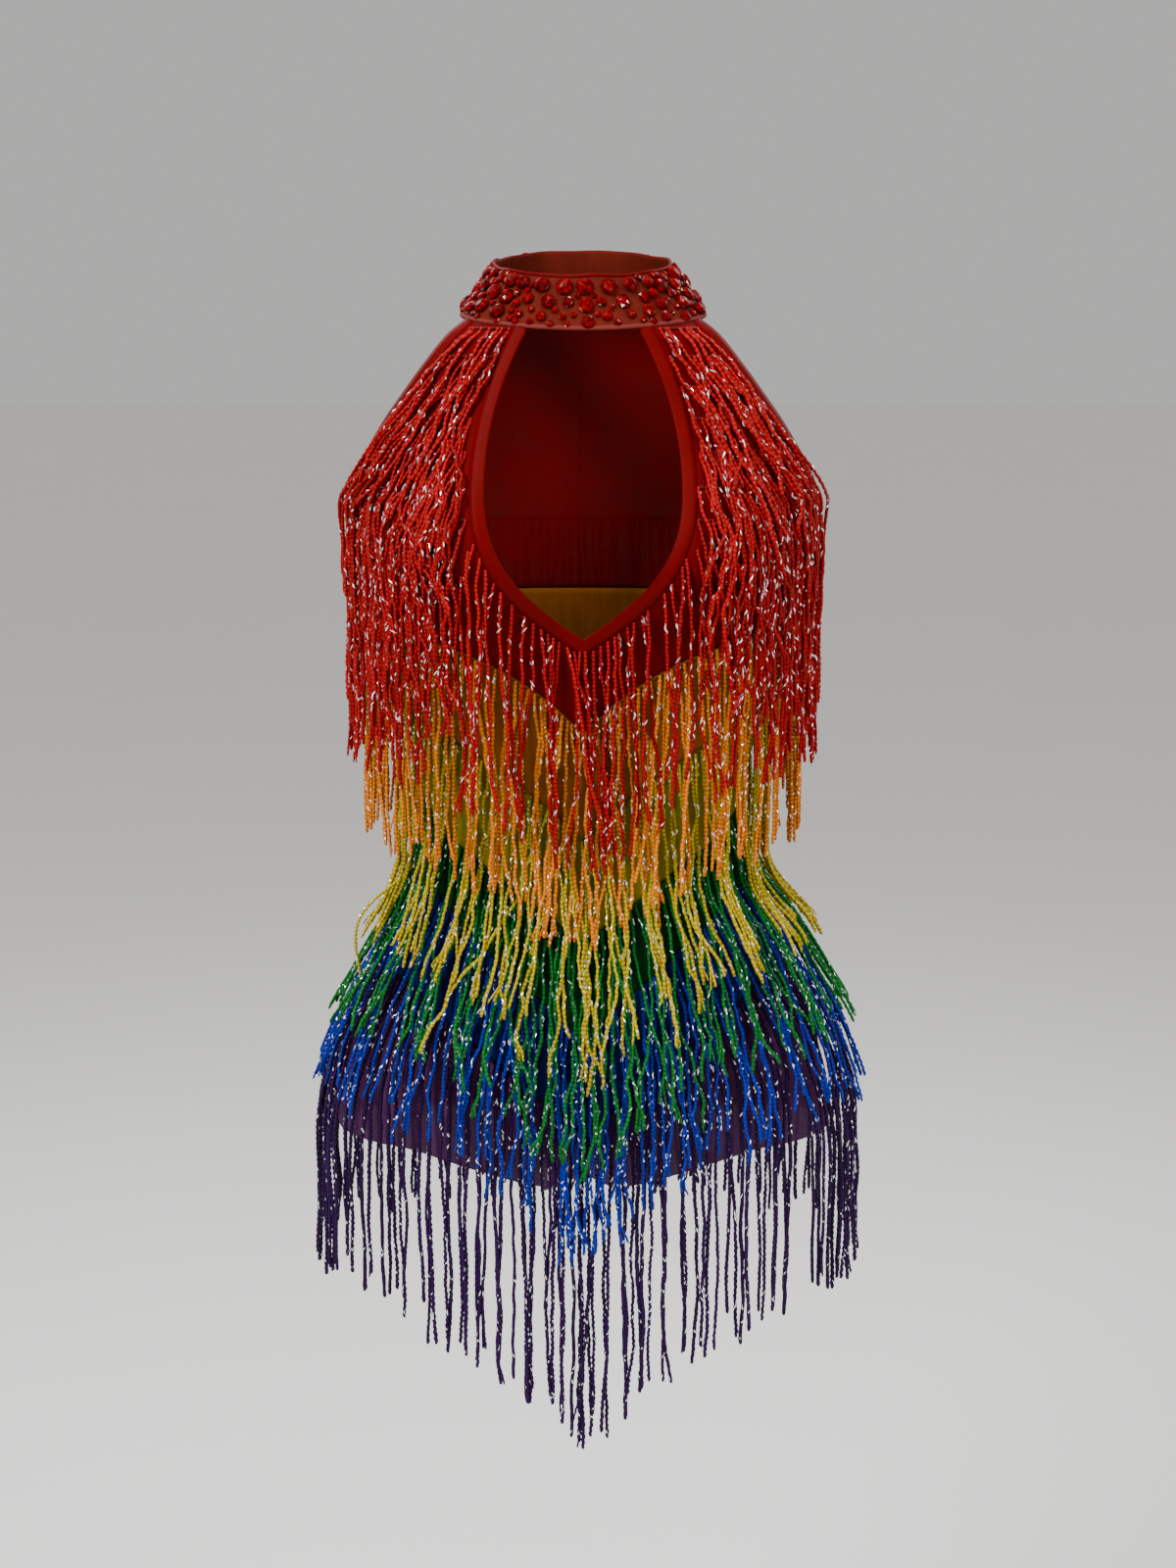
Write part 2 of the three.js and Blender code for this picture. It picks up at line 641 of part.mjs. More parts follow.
// Red fringe across each strap. Its strands lie on the chest and drift out towards the arm as they fall.
function halterFringe() {
  halterRows.forEach(({ z, strands, length }, row) => {
    const margin = (width) => (width + HALTER.margin) / radius(BUST.angle, z);
    const inner = keyholeAngle(z) + margin(KEYHOLE_BINDING_WIDTH);
    const outer = armholeAngle(z) - margin(ARMHOLE_BINDING_WIDTH);
    const edges = [];
    for (let k = 0; k <= strands; k += 1) edges.push(mix(inner, outer, k / strands));
    const rings = (angle, root) => {
      const share = (angle - inner) / (outer - inner);
      const drift = mix(HALTER.innerDrift, HALTER.outerDrift, share) * DEGREE;
      const drifted = (drop) => angle + drift * Math.min(drop, z - BUST.z);
      return hang(drifted, z - TRIM_HEIGHT / 2, root, length, HALTER.lift, HALTER.cuts);
    };
    const right = trim(edges, () => z, HALTER.off, 0.5, rings, false);
    add(`halter_fringe_right_${row + 1}`, right, strandColours.red, 0.6);
    add(`halter_fringe_left_${row + 1}`, flipped(right), strandColours.red, 0.6);
  });
}

redPanels();
const seam = (colour) => (angle) => seamHeight(seams[colour], angle);
band('orange', seam('orange'), seam('yellow'), 3);
band('yellow', seam('yellow'), seam('green'), 3);
band('green', seam('green'), seam('blue'), 3);
band('blue', seam('blue'), seam('purple'), 3);
band('purple', seam('purple'), (angle) => legHeight(angle) - SEAM / 2, 4, legAngle);
gusset();
bindings();
const cover = [...piece.children];
halterFringe();
fringeRings();
collar();

export default piece;
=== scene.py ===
"""A halter-neck fringe bodysuit: mesh in six colours, satin bindings, a stone-set collar, rope fringe."""
import math
from functools import partial

import bpy
import numpy as np
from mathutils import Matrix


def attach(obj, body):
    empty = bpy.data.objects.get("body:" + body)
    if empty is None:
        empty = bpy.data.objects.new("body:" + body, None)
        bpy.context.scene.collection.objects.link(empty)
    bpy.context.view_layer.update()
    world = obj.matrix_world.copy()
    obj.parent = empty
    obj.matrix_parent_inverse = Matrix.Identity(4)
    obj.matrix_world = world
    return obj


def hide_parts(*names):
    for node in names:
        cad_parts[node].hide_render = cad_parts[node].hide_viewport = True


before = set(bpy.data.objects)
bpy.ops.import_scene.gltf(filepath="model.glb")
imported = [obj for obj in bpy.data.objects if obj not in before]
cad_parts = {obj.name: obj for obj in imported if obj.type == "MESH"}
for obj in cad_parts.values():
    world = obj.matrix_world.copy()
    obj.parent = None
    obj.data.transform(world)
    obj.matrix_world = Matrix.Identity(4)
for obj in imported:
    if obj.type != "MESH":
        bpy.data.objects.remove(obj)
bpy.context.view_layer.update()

# Lengths are millimetres until a mesh is made. Angle 0 is the centre front, a quarter turn is the +X side,
# which is right in the pieces' names and the wearer's left.
MM = 0.001
TURN = 2 * math.pi
QUARTER = math.pi / 2
DEGREE = math.pi / 180

# Camera: the neck's axis stands this far off, and the view is tilted down from the collar's height.
VIEW_DISTANCE = 1.488
VIEW_TILT = 12.1
VIEW_SIDE = 0.003
VIEW_LENS = 52.2


def make_camera():
    """Sets the camera level with the collar, looking down along +Y."""
    data = bpy.data.cameras.new("view")
    camera = bpy.data.objects.new("view", data)
    bpy.context.scene.collection.objects.link(camera)
    camera.location = (VIEW_SIDE, -VIEW_DISTANCE, 0)
    camera.rotation_euler = (math.radians(90 - VIEW_TILT), 0, 0)
    data.lens = VIEW_LENS
    bpy.context.scene.camera = camera


make_camera()

# The general figure: height, half width, front depth and back depth of its oval section.
HEIGHT, WIDTH, FRONT, BACK = range(4)
FIGURE = np.array([
    (30, 62, 56, 54),
    (5, 70, 60, 57),
    (-9, 77, 64, 62),
    (-24, 104, 68, 73),
    (-42, 120, 74, 81),
    (-61, 132, 79, 86),
    (-80, 141, 84, 90),
    (-110, 149, 90, 93),
    (-132, 150, 92, 93),
    (-165, 148, 93, 91),
    (-200, 140, 91, 87),
    (-235, 128, 88, 81),
    (-270, 118, 85, 76),
    (-310, 109, 82, 71),
    (-350, 106, 82, 70),
    (-390, 113, 86, 77),
    (-430, 131, 92, 90),
    (-470, 150, 97, 103),
    (-510, 163, 99, 112),
    (-540, 168, 98, 113),
    (-565, 169, 94, 110),
    (-595, 167, 82, 100),
], float)
# The power of the oval. Two would be an ellipse.
OVAL = 2.2
# Lobes of the bust: angle and height of each, how far it stands out, and its half width and half heights.
BUST = {"angle": 37 * DEGREE, "z": -160, "reach": 36, "spread": 17 * DEGREE, "above": 46, "below": 32}
# How the groin is drawn in: its half width as a sine, and for each side its depth, its top and its height.
GROIN = {"spread": 0.3, "front": (46, -515, 65), "back": (52, -525, 60)}

# Chevron seams: height at the sides and back, height at the centre front, how many degrees round the V
# reaches, and how pointed it is.
SEAMS = {
    "red": (-150, -224, 40, 0.7),
    "orange": (-198, -270, 90, 2),
    "yellow": (-262, -340, 85, 1.6),
    "green": (-328, -405, 75, 1.1),
    "blue": (-382, -467, 65, 1.15),
    "purple": (-440, -532, 65, 1.15),
}

# Fringe rows: strand length, extra length at the centre front, how much shorter the strands are beside
# that, gap between strands, lift off the cloth for each millimetre down, unevenness of the lengths, how much
# the cords sway, what share have forked ends, how thick they are, and the gap and half length of the flecks.
ROW_NAMES = (
    "length", "middle", "beside", "spacing", "lift", "uneven",
    "sway", "forks", "thick", "fleck_gap", "fleck",
)
ROWS = {
    "red": (138, 0, 0, 5.2, 0.09, 8, 1.0, 0.30, 1.0, 10.0, 2.1),
    "orange": (143, 0, 0, 4.6, 0.06, 7, 0.9, 0.30, 0.95, 7.5, 1.5),
    "yellow": (148, 3, 10, 4.7, 0.12, 8, 1.0, 0.35, 0.92, 7.5, 1.5),
    "green": (142, 9, 24, 4.7, 0.12, 7, 1.0, 0.35, 0.92, 7.5, 1.5),
    "blue": (137, 13, 8, 4.7, 0.10, 8, 0.9, 0.35, 0.92, 7.8, 1.6),
    "purple": (208, 2, 0, 5.0, 0.05, 9, 0.5, 0.12, 1.08, 9.0, 1.8),
}
FRINGES = {colour: dict(zip(ROW_NAMES, row)) for colour, row in ROWS.items()}
# How much further out a row hangs below the waist: at both sides, and more at the wearer's left side.
FULLER = {"yellow": (0, 13), "green": (0, 11), "blue": (1, 8), "purple": (4, 5)}
# The waist's height, and the drop of a cord and the height below the waist over which that grows.
WAIST = {"z": -372, "drop": 45, "below": 38}
# Where a row is longer or shorter: half width of the centre front, angle and half width of its sides.
MIDDLE = 14 * DEGREE
BESIDE = (36 * DEGREE, 14 * DEGREE)
# A yellow cord that has curled out at the wearer's right hip, by its control points in millimetres.
CURL = np.array([
    (-104, -28, -352), (-112, -30, -372), (-124, -30, -388), (-150, -28, -388), (-160, -26, -404),
    (-152, -24, -424), (-151, -24, -436), (-149, -24, -448),
], float)
# Red fringe across each strap: height of each row and how long its strands are.
HALTER_ROWS = [(-19, 112), (-36, 116), (-54, 118), (-73, 122), (-93, 124), (-113, 122), (-132, 118)]
# Straps: gap between strands and how much closer they hang, how far past each binding they begin (under it
# where negative), lift off the cloth for each millimetre down, unevenness of the lengths, sway, height where
# they stop following the strap's edges, how far inside the armhole's edge they stay, and the angle by which
# that opens out for each millimetre below the armhole.
HALTER = {
    "spacing": 4.5, "closer": 1.15, "inner": -0.5, "outer": -5.0, "lift": 0.045, "uneven": 13, "sway": 1.55,
    "rest": -125, "rim": 3.0, "open": 0.004,
}
# Degrees from the centre front where the red row leaves the keyhole's binding.
KEPT_CLOSE = (29, 33)
# Where the red row's own heading begins. In front of that it is sewn under the keyhole's binding.
HEADING_FROM = 42 * DEGREE
# Share of the red row's strands left out beside the keyhole's point, and where, in degrees.
SPARSE = {"share": 0.42, "from": 13, "to": 44}
# A strand: radius of its twist, how that varies between strands and along one, its share at the ends, length
# of a step along it, how far it hangs off the cloth, how much less at its root, and its root above its seam.
STRAND = {
    "radius": 1.35, "thick": (0.85, 1.12), "lumps": 0.07, "end": 0.7, "step": 2.1, "off": 2.0, "sewn": 0.6,
    "above": 0.5,
}
# Drops over which a strand leaves its root, its waves grow and it hangs loose, and how fast it is gathered.
FALL = {"leave": 8, "wave": 28, "loose": 60, "gather": 1.25}
# Limits of a strand's uneven length, as shares of the row's unevenness.
UNEVEN = (-1.7, 1.3)
# How far a root is off its even place, as a share of the gap, in a row round the body and across a strap.
JITTER = {"row": 0.3, "strap": 0.45}
# How far past the edge of the keyhole's binding the red row is sewn.
SEWN_UNDER = 0.6
# Groups of strands: what share of the strands begin one, how far a group and a strand in it are off their
# place, and how strongly a group is drawn together.
GROUP = {"begin": 0.42, "off": 2.0, "strand_off": 0.9, "pull": (0.25, 1.0)}
# Lean for each millimetre down, the lean of a strand that strays, and what share stray.
LEAN = {"usual": 0.032, "stray": 0.14, "strays": 0.05}
# Sideways waves: size, and least and greatest span. Then how a wave's size varies, and its random phase.
WAVES = ((2.1, (90, 170)), (0.95, (28, 52)), (0.4, (11, 18)))
WAVE_SIZES = (0.3, 1.0)
PHASE = (0, 6.28)
# The crook at a strand's end: size, the share of the strand where it begins, and its power.
CROOK = {"size": 2.6, "from": 0.75, "power": 1.5}
# Waves in and out: how far a strand hangs loose, the size of its flutter, and the flutter's length.
FLUTTER = {"loose": (0, 2.4), "size": (0.2, 1.2), "length": (9, 22)}
# A forked end: the share of the strand where it begins, how far it reaches sideways, outwards and up, its
# power, and its thickness as a share of the strand's.
FORK = {"from": 0.87, "side": (1.5, 5.0), "out": (-0.5, 2.5), "up": (-5, 4), "power": 1.4, "thick": 0.6}
# A fleck: where on the strand, spread of its place round the strand and of its slant, half length as a
# share of its size, half width, its seat as a share of the strand's radius, and how far its middle stands
# off that.
FLECK = {
    "along": (0.02, 0.985), "round": 1.3, "slant": 0.45, "long": (0.5, 1.35), "wide": (0.25, 0.48),
    "seat": 0.75, "rise": 0.5,
}
# A heading: half width, half thickness, depth and pitch of its ribs, how far it stands off the cloth, and
# what its cord's material reads: metres along it for each point, and a dark tint.
HEADING = {
    "wide": 1.3, "thick": 0.55, "rib": 0.12, "pitch": 1.9, "off": 0.35, "run": 0.0003, "tint": -1.2,
}

# The keyhole: its widest half width and the height of that, its top, how much of the width is lost there,
# its point, and the power of the curve down to the point.
KEYHOLE = {"widest": 61, "z": -114, "top": -19, "narrowing": 0.426, "point": -209, "power": 2.35}
# The armhole's edge: height, and degrees from the centre front or back. Its last height is its foot.
ARMHOLE = np.array([(5, 56), (-16, 58), (-60, 65), (-100, 73), (-124, 82), (-132, 90)], float)
ARMHOLE_BOTTOM = -132
# Matching heights down a red panel: at the keyhole's edge, the back's centre line and the armhole's edge.
RED_ROWS = np.array([
    (-20, 2, -15),
    (-62, -28, -50),
    (-108, -60, -85),
    (-151, -92, -114),
    (-187, -120, -128.5),
    (-200, -131, -132),
    (-209, -140, -139.5),
    (-236, -168, -167),
    (-271, -200, -200),
], float)
# Shares of a red panel's height: over which its head bends to the collar's seam, and where its foot begins
# to bend to the orange seam and over how much.
RED_ENDS = {"head": 0.12, "foot_from": 0.72, "foot": 0.28}
# The brief's leg edge: heights in front, at the side and at the gusset's two seams, the gusset's half
# width, the powers of its curves, and the share of the front over which it rises from the gusset.
LEG = {
    "front": -547, "side": -553, "front_seam": -578, "back_seam": -585, "gusset_angle": 22 * DEGREE,
    "back_power": 1.6, "front_power": 2, "rise": 0.5, "rise_power": 0.7,
}
# The gusset: its half width before it is drawn in, how far its curves run on straight, rows and columns.
GUSSET = {"half": 27.8 * DEGREE, "run_on": 26, "rows": 50, "columns": 28}
# The collar: mean height and tilt of its seam and of its upper ring, the ring's half width, front and back
# depth, and how far the band is drawn in between them.
COLLAR = {
    "seam": -9, "seam_tilt": 11, "middle": 21, "tilt": 8, "width": 56, "front": 50, "back": 52, "drawn": 4,
}
# The collar's trims: height as a share of the band, half width and half thickness.
COLLAR_TRIMS = {"hem": (0.04, 1.45, 0.7), "elastic": (0.985, 1.2, 0.8)}
# How the bindings are laid: points along half the keyhole and along an armhole, the powers that bring them
# closer together towards the foot, the keyhole's steps on past its point and how far they go, and the angles
# of an armhole's ends from the centre front and back.
LAY = {
    "keyhole": 150, "armhole": 260, "keyhole_power": 1.8, "armhole_power": 1.7, "step": 1.5, "past": 12,
    "front": 58 * DEGREE, "back": 56 * DEGREE,
}
# Widths of the bindings, thickness of the cloth and of the collar band, and the gap between two panels.
KEYHOLE_BINDING = 8
ARMHOLE_BINDING = 7
CLOTH = 0.5
COLLAR_CLOTH = 0.9
SEAM = 0.3
# A panel is cut to this share of its worn width. Its length is its drop times a share for its slope.
STRETCH = 0.92
SLOPE = 1.06
# The mean body's radius in metres, for the cloth's map, and millimetres of the waist in a degree.
MAP_RADIUS = 0.12
WAIST_DEGREE = 1.9


def mix(a, b, t):
    """The straight line from a to b: a plus t times their difference."""
    return a + (b - a) * t


def smooth(t):
    """A smooth step: three t squared less two t cubed, level below 0 and above 1."""
    t = np.clip(t, 0, 1)
    return t * t * (3 - 2 * t)


def bell(t):
    """A bell curve: e to the power of minus half of t squared."""
    return np.exp(-0.5 * t**2)


def unit(vectors):
    """Each vector divided by its length."""
    return vectors / np.maximum(np.linalg.norm(vectors, axis=-1, keepdims=True), 1e-9)


def signed(angle):
    """The same angle, between minus and plus half a turn."""
    return np.arctan2(np.sin(angle), np.cos(angle))


def angle_of(points):
    """The angle round the body at which points stand."""
    return np.arctan2(points[..., 0], -points[..., 1])


def round_way(angle):
    """The level direction round the body: its cosine, its sine and nothing."""
    return np.stack([np.cos(angle), np.sin(angle), np.zeros_like(angle)], axis=-1)


def run_along(line):
    """The distance along a line at each of its points: the running sum of its steps."""
    return np.concatenate([[0], np.cumsum(np.linalg.norm(np.diff(line, axis=0), axis=1))])


def along(table, z, column):
    """A column of a table whose heights fall, read at heights z on a cubic curve.

    Each row's slope is that of the line between its neighbours (cubic Hermite).
    """
    heights, values = table[:, 0], table[:, column]
    ahead = np.minimum(np.arange(len(heights)) + 1, len(heights) - 1)
    behind = np.maximum(np.arange(len(heights)) - 1, 0)
    slopes = (values[ahead] - values[behind]) / (heights[ahead] - heights[behind])
    i = np.clip(np.searchsorted(-heights, -np.asarray(z, float)) - 1, 0, len(heights) - 2)
    step = heights[i + 1] - heights[i]
    t = np.clip((z - heights[i]) / step, 0, 1)
    start = (2 * t**3 - 3 * t**2 + 1) * values[i] + (t**3 - 2 * t**2 + t) * step * slopes[i]
    return start + (3 * t**2 - 2 * t**3) * values[i + 1] + (t**3 - t**2) * step * slopes[i + 1]


def radius(angle, z):
    """Distance of the figure from the neck's axis: an oval |x/a|^n + |y/b|^n = 1 in polar form.

    Two round lobes are added at the bust. Between the legs a square times a bell draws the groin in.
    """
    angle, z = np.broadcast_arrays(np.asarray(angle, float), np.asarray(z, float))
    facing = np.cos(angle) > 0
    depth = np.where(facing, along(FIGURE, z, FRONT), along(FIGURE, z, BACK))
    across = (np.abs(np.sin(angle)) / along(FIGURE, z, WIDTH)) ** OVAL
    deep = (np.abs(np.cos(angle)) / depth) ** OVAL
    fall = (z - BUST["z"]) / np.where(z > BUST["z"], BUST["above"], BUST["below"])
    turn = signed(angle)
    lobes = sum(
        np.exp(-0.5 * ((turn - side * BUST["angle"]) / BUST["spread"]) ** 2 - 0.5 * fall**2)
        for side in (1, -1)
    )
    front_dip, back_dip = (
        size * np.clip((top - z) / height, 0, 1) ** 2
        for size, top, height in (GROIN["front"], GROIN["back"])
    )
    dent = np.where(facing, front_dip, back_dip) * bell(np.sin(angle) / GROIN["spread"])
    return (across + deep) ** (-1 / OVAL) + BUST["reach"] * lobes - dent


def place(angle, z, r):
    """Polar to plain coordinates: angle round the body, height, distance from the axis."""
    angle, z, r = np.broadcast_arrays(angle, z, r)
    return np.stack([r * np.sin(angle), -r * np.cos(angle), z], axis=-1)


def on_figure(angle, z):
    """The figure's surface as a function of the angle round the body and the height."""
    return place(angle, z, radius(angle, z))


def outward(angle, z):
    """The figure's normal: the cross product of its slopes down and round the body."""
    across = on_figure(angle + 0.01, z) - on_figure(angle - 0.01, z)
    down = on_figure(angle, z - 0.5) - on_figure(angle, z + 0.5)
    return unit(np.cross(down, across))


def seam_height(colour, angle):
    """A seam's height: a V at the front, (1 - turn / limit) ** power, that runs out level at its limit."""
    side, centre, limit, power = SEAMS[colour]
    return mix(side, centre, np.clip(1 - np.abs(signed(angle)) / (limit * DEGREE), 0, 1) ** power)


def collar_seam(angle):
    """Height of the collar's seam: a cosine round the neck, lowest in front."""
    return COLLAR["seam"] - COLLAR["seam_tilt"] * np.cos(angle)


def keyhole_angle(z):
    """The angle of the keyhole's edge.

    Its half width falls with the square of the height above the widest place, and with a power below it.
    The angle is found by halving its span thirty times, until the surface is at that half width.
    """
    z = np.asarray(z, float)
    rise = (z - KEYHOLE["z"]) / (KEYHOLE["top"] - KEYHOLE["z"])
    fall = np.clip((KEYHOLE["z"] - z) / (KEYHOLE["z"] - KEYHOLE["point"]), 0, 1)
    half = KEYHOLE["widest"] * np.where(
        z > KEYHOLE["z"], 1 - KEYHOLE["narrowing"] * rise**2, 1 - fall ** KEYHOLE["power"]
    )
    low, high = np.zeros_like(z), np.full_like(z, QUARTER)
    for _ in range(30):
        middle = (low + high) / 2
        inside = radius(middle, z) * np.sin(middle) < half
        low, high = np.where(inside, middle, low), np.where(inside, high, middle)
    return (low + high) / 2


def armhole_angle(z):
    """The angle of the armhole's edge: its table on a cubic curve, and the side seam below its foot."""
    z = np.asarray(z, float)
    return np.where(z > ARMHOLE_BOTTOM, along(ARMHOLE, z, 1) * DEGREE, QUARTER)


# Meshes


def make_piece(name, points, faces, uv=None, smooth_faces=True, attributes=None):
    """A mesh piece from points in millimetres and a list of face arrays, each with its own corner count.

    The map and the attributes have one value for each point.
    """
    mesh = bpy.data.meshes.new(name)
    corners = np.concatenate([f.ravel() for f in faces]).astype(np.int32)
    counts = np.concatenate([np.full(len(f), f.shape[1]) for f in faces])
    starts = np.concatenate([[0], np.cumsum(counts)[:-1]]).astype(np.int32)
    mesh.vertices.add(len(points))
    mesh.vertices.foreach_set("co", (points * MM).astype(np.float32).ravel())
    mesh.loops.add(len(corners))
    mesh.loops.foreach_set("vertex_index", corners)
    mesh.polygons.add(len(starts))
    mesh.polygons.foreach_set("loop_start", starts)
    mesh.update(calc_edges=True)
    mesh.polygons.foreach_set("use_smooth", np.full(len(starts), smooth_faces))
    if uv is not None:
        mesh.uv_layers.new(name="map").data.foreach_set("uv", uv[corners].astype(np.float32).ravel())
    for label, values in (attributes or {}).items():
        mesh.attributes.new(label, "FLOAT", "POINT").data.foreach_set("value", values.astype(np.float32))
    mesh.validate()
    piece = bpy.data.objects.new(name, mesh)
    bpy.context.scene.collection.objects.link(piece)
    return piece


def grid_faces(rows, columns, wrap=False):
    """Quads of a grid of points, with the last column joined to the first if it wraps."""
    i, j = np.meshgrid(np.arange(rows - 1), np.arange(columns - (0 if wrap else 1)), indexing="ij")
    after = (j + 1) % columns
    quads = [i * columns + j, (i + 1) * columns + j, (i + 1) * columns + after, i * columns + after]
    return np.stack(quads, axis=-1).reshape(-1, 4)


def joined(parts):
    """Joins (points, faces) grids, one vertex where two coincide."""
    points = np.concatenate([p.reshape(-1, 3) for p, _ in parts])
    offsets = np.cumsum([0] + [p.reshape(-1, 3).shape[0] for p, _ in parts[:-1]])
    faces = np.concatenate([f + offset for (_, f), offset in zip(parts, offsets)])
    _, first, index = np.unique(np.round(points, 3), axis=0, return_index=True, return_inverse=True)
    return points[first], index.ravel()[faces]


def thicken(piece, thickness):
    """Gives a sheet its thickness, inwards."""
    shell = piece.modifiers.new("thickness", "SOLIDIFY")
    shell.thickness = thickness * MM
    shell.offset = -1


def finish_piece(piece, material, nodes=()):
    """Gives a piece its material, hangs it from the root's empty, and hides the solids that it replaces."""
    piece.data.materials.append(material)
    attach(piece, "root")
    if nodes:
        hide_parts(*nodes)


def creases(angle, z):
    """Small soft folds of the cloth, in millimetres out of the surface: a sum of ridges on slanted lines.

    Each is a depth times e to minus half the squares of the way along it and off it, over its length and
    width.
    """
    total = np.zeros(np.broadcast(angle, z).shape)
    turn = signed(angle) / DEGREE
    for at, height, length, tilt, depth, wide in CREASES:
        across = (turn - at) * WAIST_DEGREE
        down = z - height
        cosine, sine = math.cos(tilt * DEGREE), math.sin(tilt * DEGREE)
        run = across * cosine + down * sine
        off = down * cosine - across * sine
        total = total + depth * np.exp(-0.5 * (run / length) ** 2 - 0.5 * (off / wide) ** 2)
    return total


# Folds: angle in degrees, height, half length, slant in degrees, height of the ridge or depth of the
# trough, half width.
CREASES = [
    (-38, -318, 26, 14, 1.4, 4.0),
    (-30, -334, 20, 8, -1.2, 3.5),
    (-12, -322, 16, -10, 0.9, 3.0),
    (16, -330, 24, -12, 1.3, 4.0),
    (34, -312, 28, -16, -1.3, 4.5),
    (44, -344, 22, -6, 1.2, 4.0),
    (-62, -350, 24, 12, 1.3, 4.5),
    (66, -352, 26, -12, 1.4, 4.5),
    (-90, -336, 30, 4, -1.2, 5.0),
    (92, -340, 28, -4, 1.2, 5.0),
    (130, -322, 34, 10, 1.4, 5.0),
    (-128, -330, 32, -10, 1.3, 5.0),
    (165, -345, 36, 6, -1.5, 5.0),
    (-158, -352, 30, -5, 1.4, 5.0),
    (178, -310, 28, 2, 1.2, 4.5),
    (-20, -556, 22, 50, 1.2, 4.0),
    (20, -554, 22, -50, 1.2, 4.0),
    (150, -562, 26, -35, 1.3, 5.0),
    (-150, -562, 26, 35, 1.3, 5.0),
    (60, -190, 20, -30, 0.9, 4.0),
    (-60, -192, 20, 30, 0.9, 4.0),
]


def cloth_points(angle, z):
    """The worn cloth: the figure's surface moved along its normal by the creases."""
    return on_figure(angle, z) + creases(angle, z)[..., None] * outward(angle, z)


def cloth_uv(points):
    """Flat coordinates of cloth in metres: distance round a mean body, and height."""
    return np.stack([angle_of(points) * MAP_RADIUS, points[:, 2] * MM], axis=-1)


def grid_size(grid):
    """The longest row and the longest column of a grid of points, in metres along its surface."""
    row = np.linalg.norm(np.diff(grid, axis=1), axis=2).sum(axis=1).max()
    column = np.linalg.norm(np.diff(grid, axis=0), axis=2).sum(axis=0).max()
    return row * MM, column * MM


def make_cloth(name, parts, material, nodes, worn=None):
    """A thin shell of stretch mesh. It was cut narrower than it is worn by the stretch.

    Worn is its size across and down. If it isn't given, it is the angle round the body times the mean
    radius, and the drop with a share for the slope. The area adds up half the cross product of each face's
    diagonals.
    """
    points, faces = joined(parts)
    piece = make_piece(name, points, [faces], uv=cloth_uv(points))
    thicken(piece, CLOTH)
    finish_piece(piece, material, nodes)
    a, b, c, d = (points[faces[:, k]] * MM for k in range(4))
    area = 0.5 * np.linalg.norm(np.cross(c - a, d - b), axis=1).sum()
    turn = angle_of(points)
    if np.cos(turn).mean() < 0:
        turn = np.mod(turn, TURN)
    across = np.ptp(turn) * np.hypot(points[:, 0], points[:, 1]).mean() * MM
    across, down = worn or (across, np.ptp(points[:, 2]) * MM * SLOPE)
    width = max(across * STRETCH, area * STRETCH / down)


def band_parts(top, bottom, back, rows=16, columns=72, narrowed=None):
    """A band between two seam lines: angle across, and a straight mix of the two lines' heights down.

    Where it is narrowed, the angle goes over to the narrowed one with the square of the way down.
    """
    turn = np.linspace(-QUARTER, QUARTER, columns)
    down = np.linspace(0, 1, rows)[:, None]
    spread = turn if narrowed is None else mix(turn, narrowed(turn), down**2)
    angle = np.broadcast_to(math.pi + spread if back else spread, (rows, columns))
    z = mix(top(angle) - SEAM / 2, bottom(angle) + SEAM / 2, down)
    return [(cloth_points(angle, z), grid_faces(rows, columns))]


def leg_height(angle):
    """The brief's lower edge: level at the gusset, then a power curve up to the side."""
    turn = np.abs(signed(angle))
    back = turn > QUARTER
    past = np.where(back, math.pi - turn, turn) - LEG["gusset_angle"]
    t = np.clip(past / (QUARTER - LEG["gusset_angle"]), 0, 1)
    rear = mix(LEG["back_seam"], LEG["side"], t ** LEG["back_power"])
    front = mix(LEG["front"], LEG["side"], t ** LEG["front_power"])
    risen = np.clip(t / LEG["rise"], 0, 1) ** LEG["rise_power"]
    return np.where(back, rear, mix(LEG["front_seam"], front, risen))


def closed_in(turn, power=1.2):
    """An angle drawn in towards the centre: its share of a quarter turn to a power."""
    return np.sign(turn) * QUARTER * (np.abs(turn) / QUARTER) ** power


def red_parts(back, rows=72, columns=34):
    """Half a red panel: straight mixes from the keyhole or centre line to the armhole, and its mirror.

    By smooth steps its top follows the collar's seam and its foot the orange seam.
    """
    v = np.linspace(0, 1, rows)
    u = np.linspace(0, 1, columns)
    marks = np.linspace(0, 1, len(RED_ROWS))
    inner_z = np.interp(v, marks, RED_ROWS[:, 1 if back else 0])
    outer_z = np.interp(v, marks, RED_ROWS[:, 2])
    inner = np.zeros(rows) if back else np.where(inner_z > KEYHOLE["point"], keyhole_angle(inner_z), 0)
    angle = mix(inner[:, None], armhole_angle(outer_z)[:, None], u)
    z = mix(inner_z[:, None], outer_z[:, None], u)
    turned = math.pi - angle if back else angle
    foot = smooth((v[:, None] - RED_ENDS["foot_from"]) / RED_ENDS["foot"])
    head = 1 - smooth(v[:, None] / RED_ENDS["head"])
    seam_drop = seam_height("orange", turned[-1]) + SEAM / 2 - z[-1]
    top_drop = collar_seam(turned[0]) - SEAM - z[0]
    points = cloth_points(turned, z + foot * seam_drop + head * top_drop)
    faces = grid_faces(rows, columns)
    if back:
        faces = faces[:, ::-1]
    return [(points, faces), (points * (-1, 1, 1), faces[:, ::-1])]


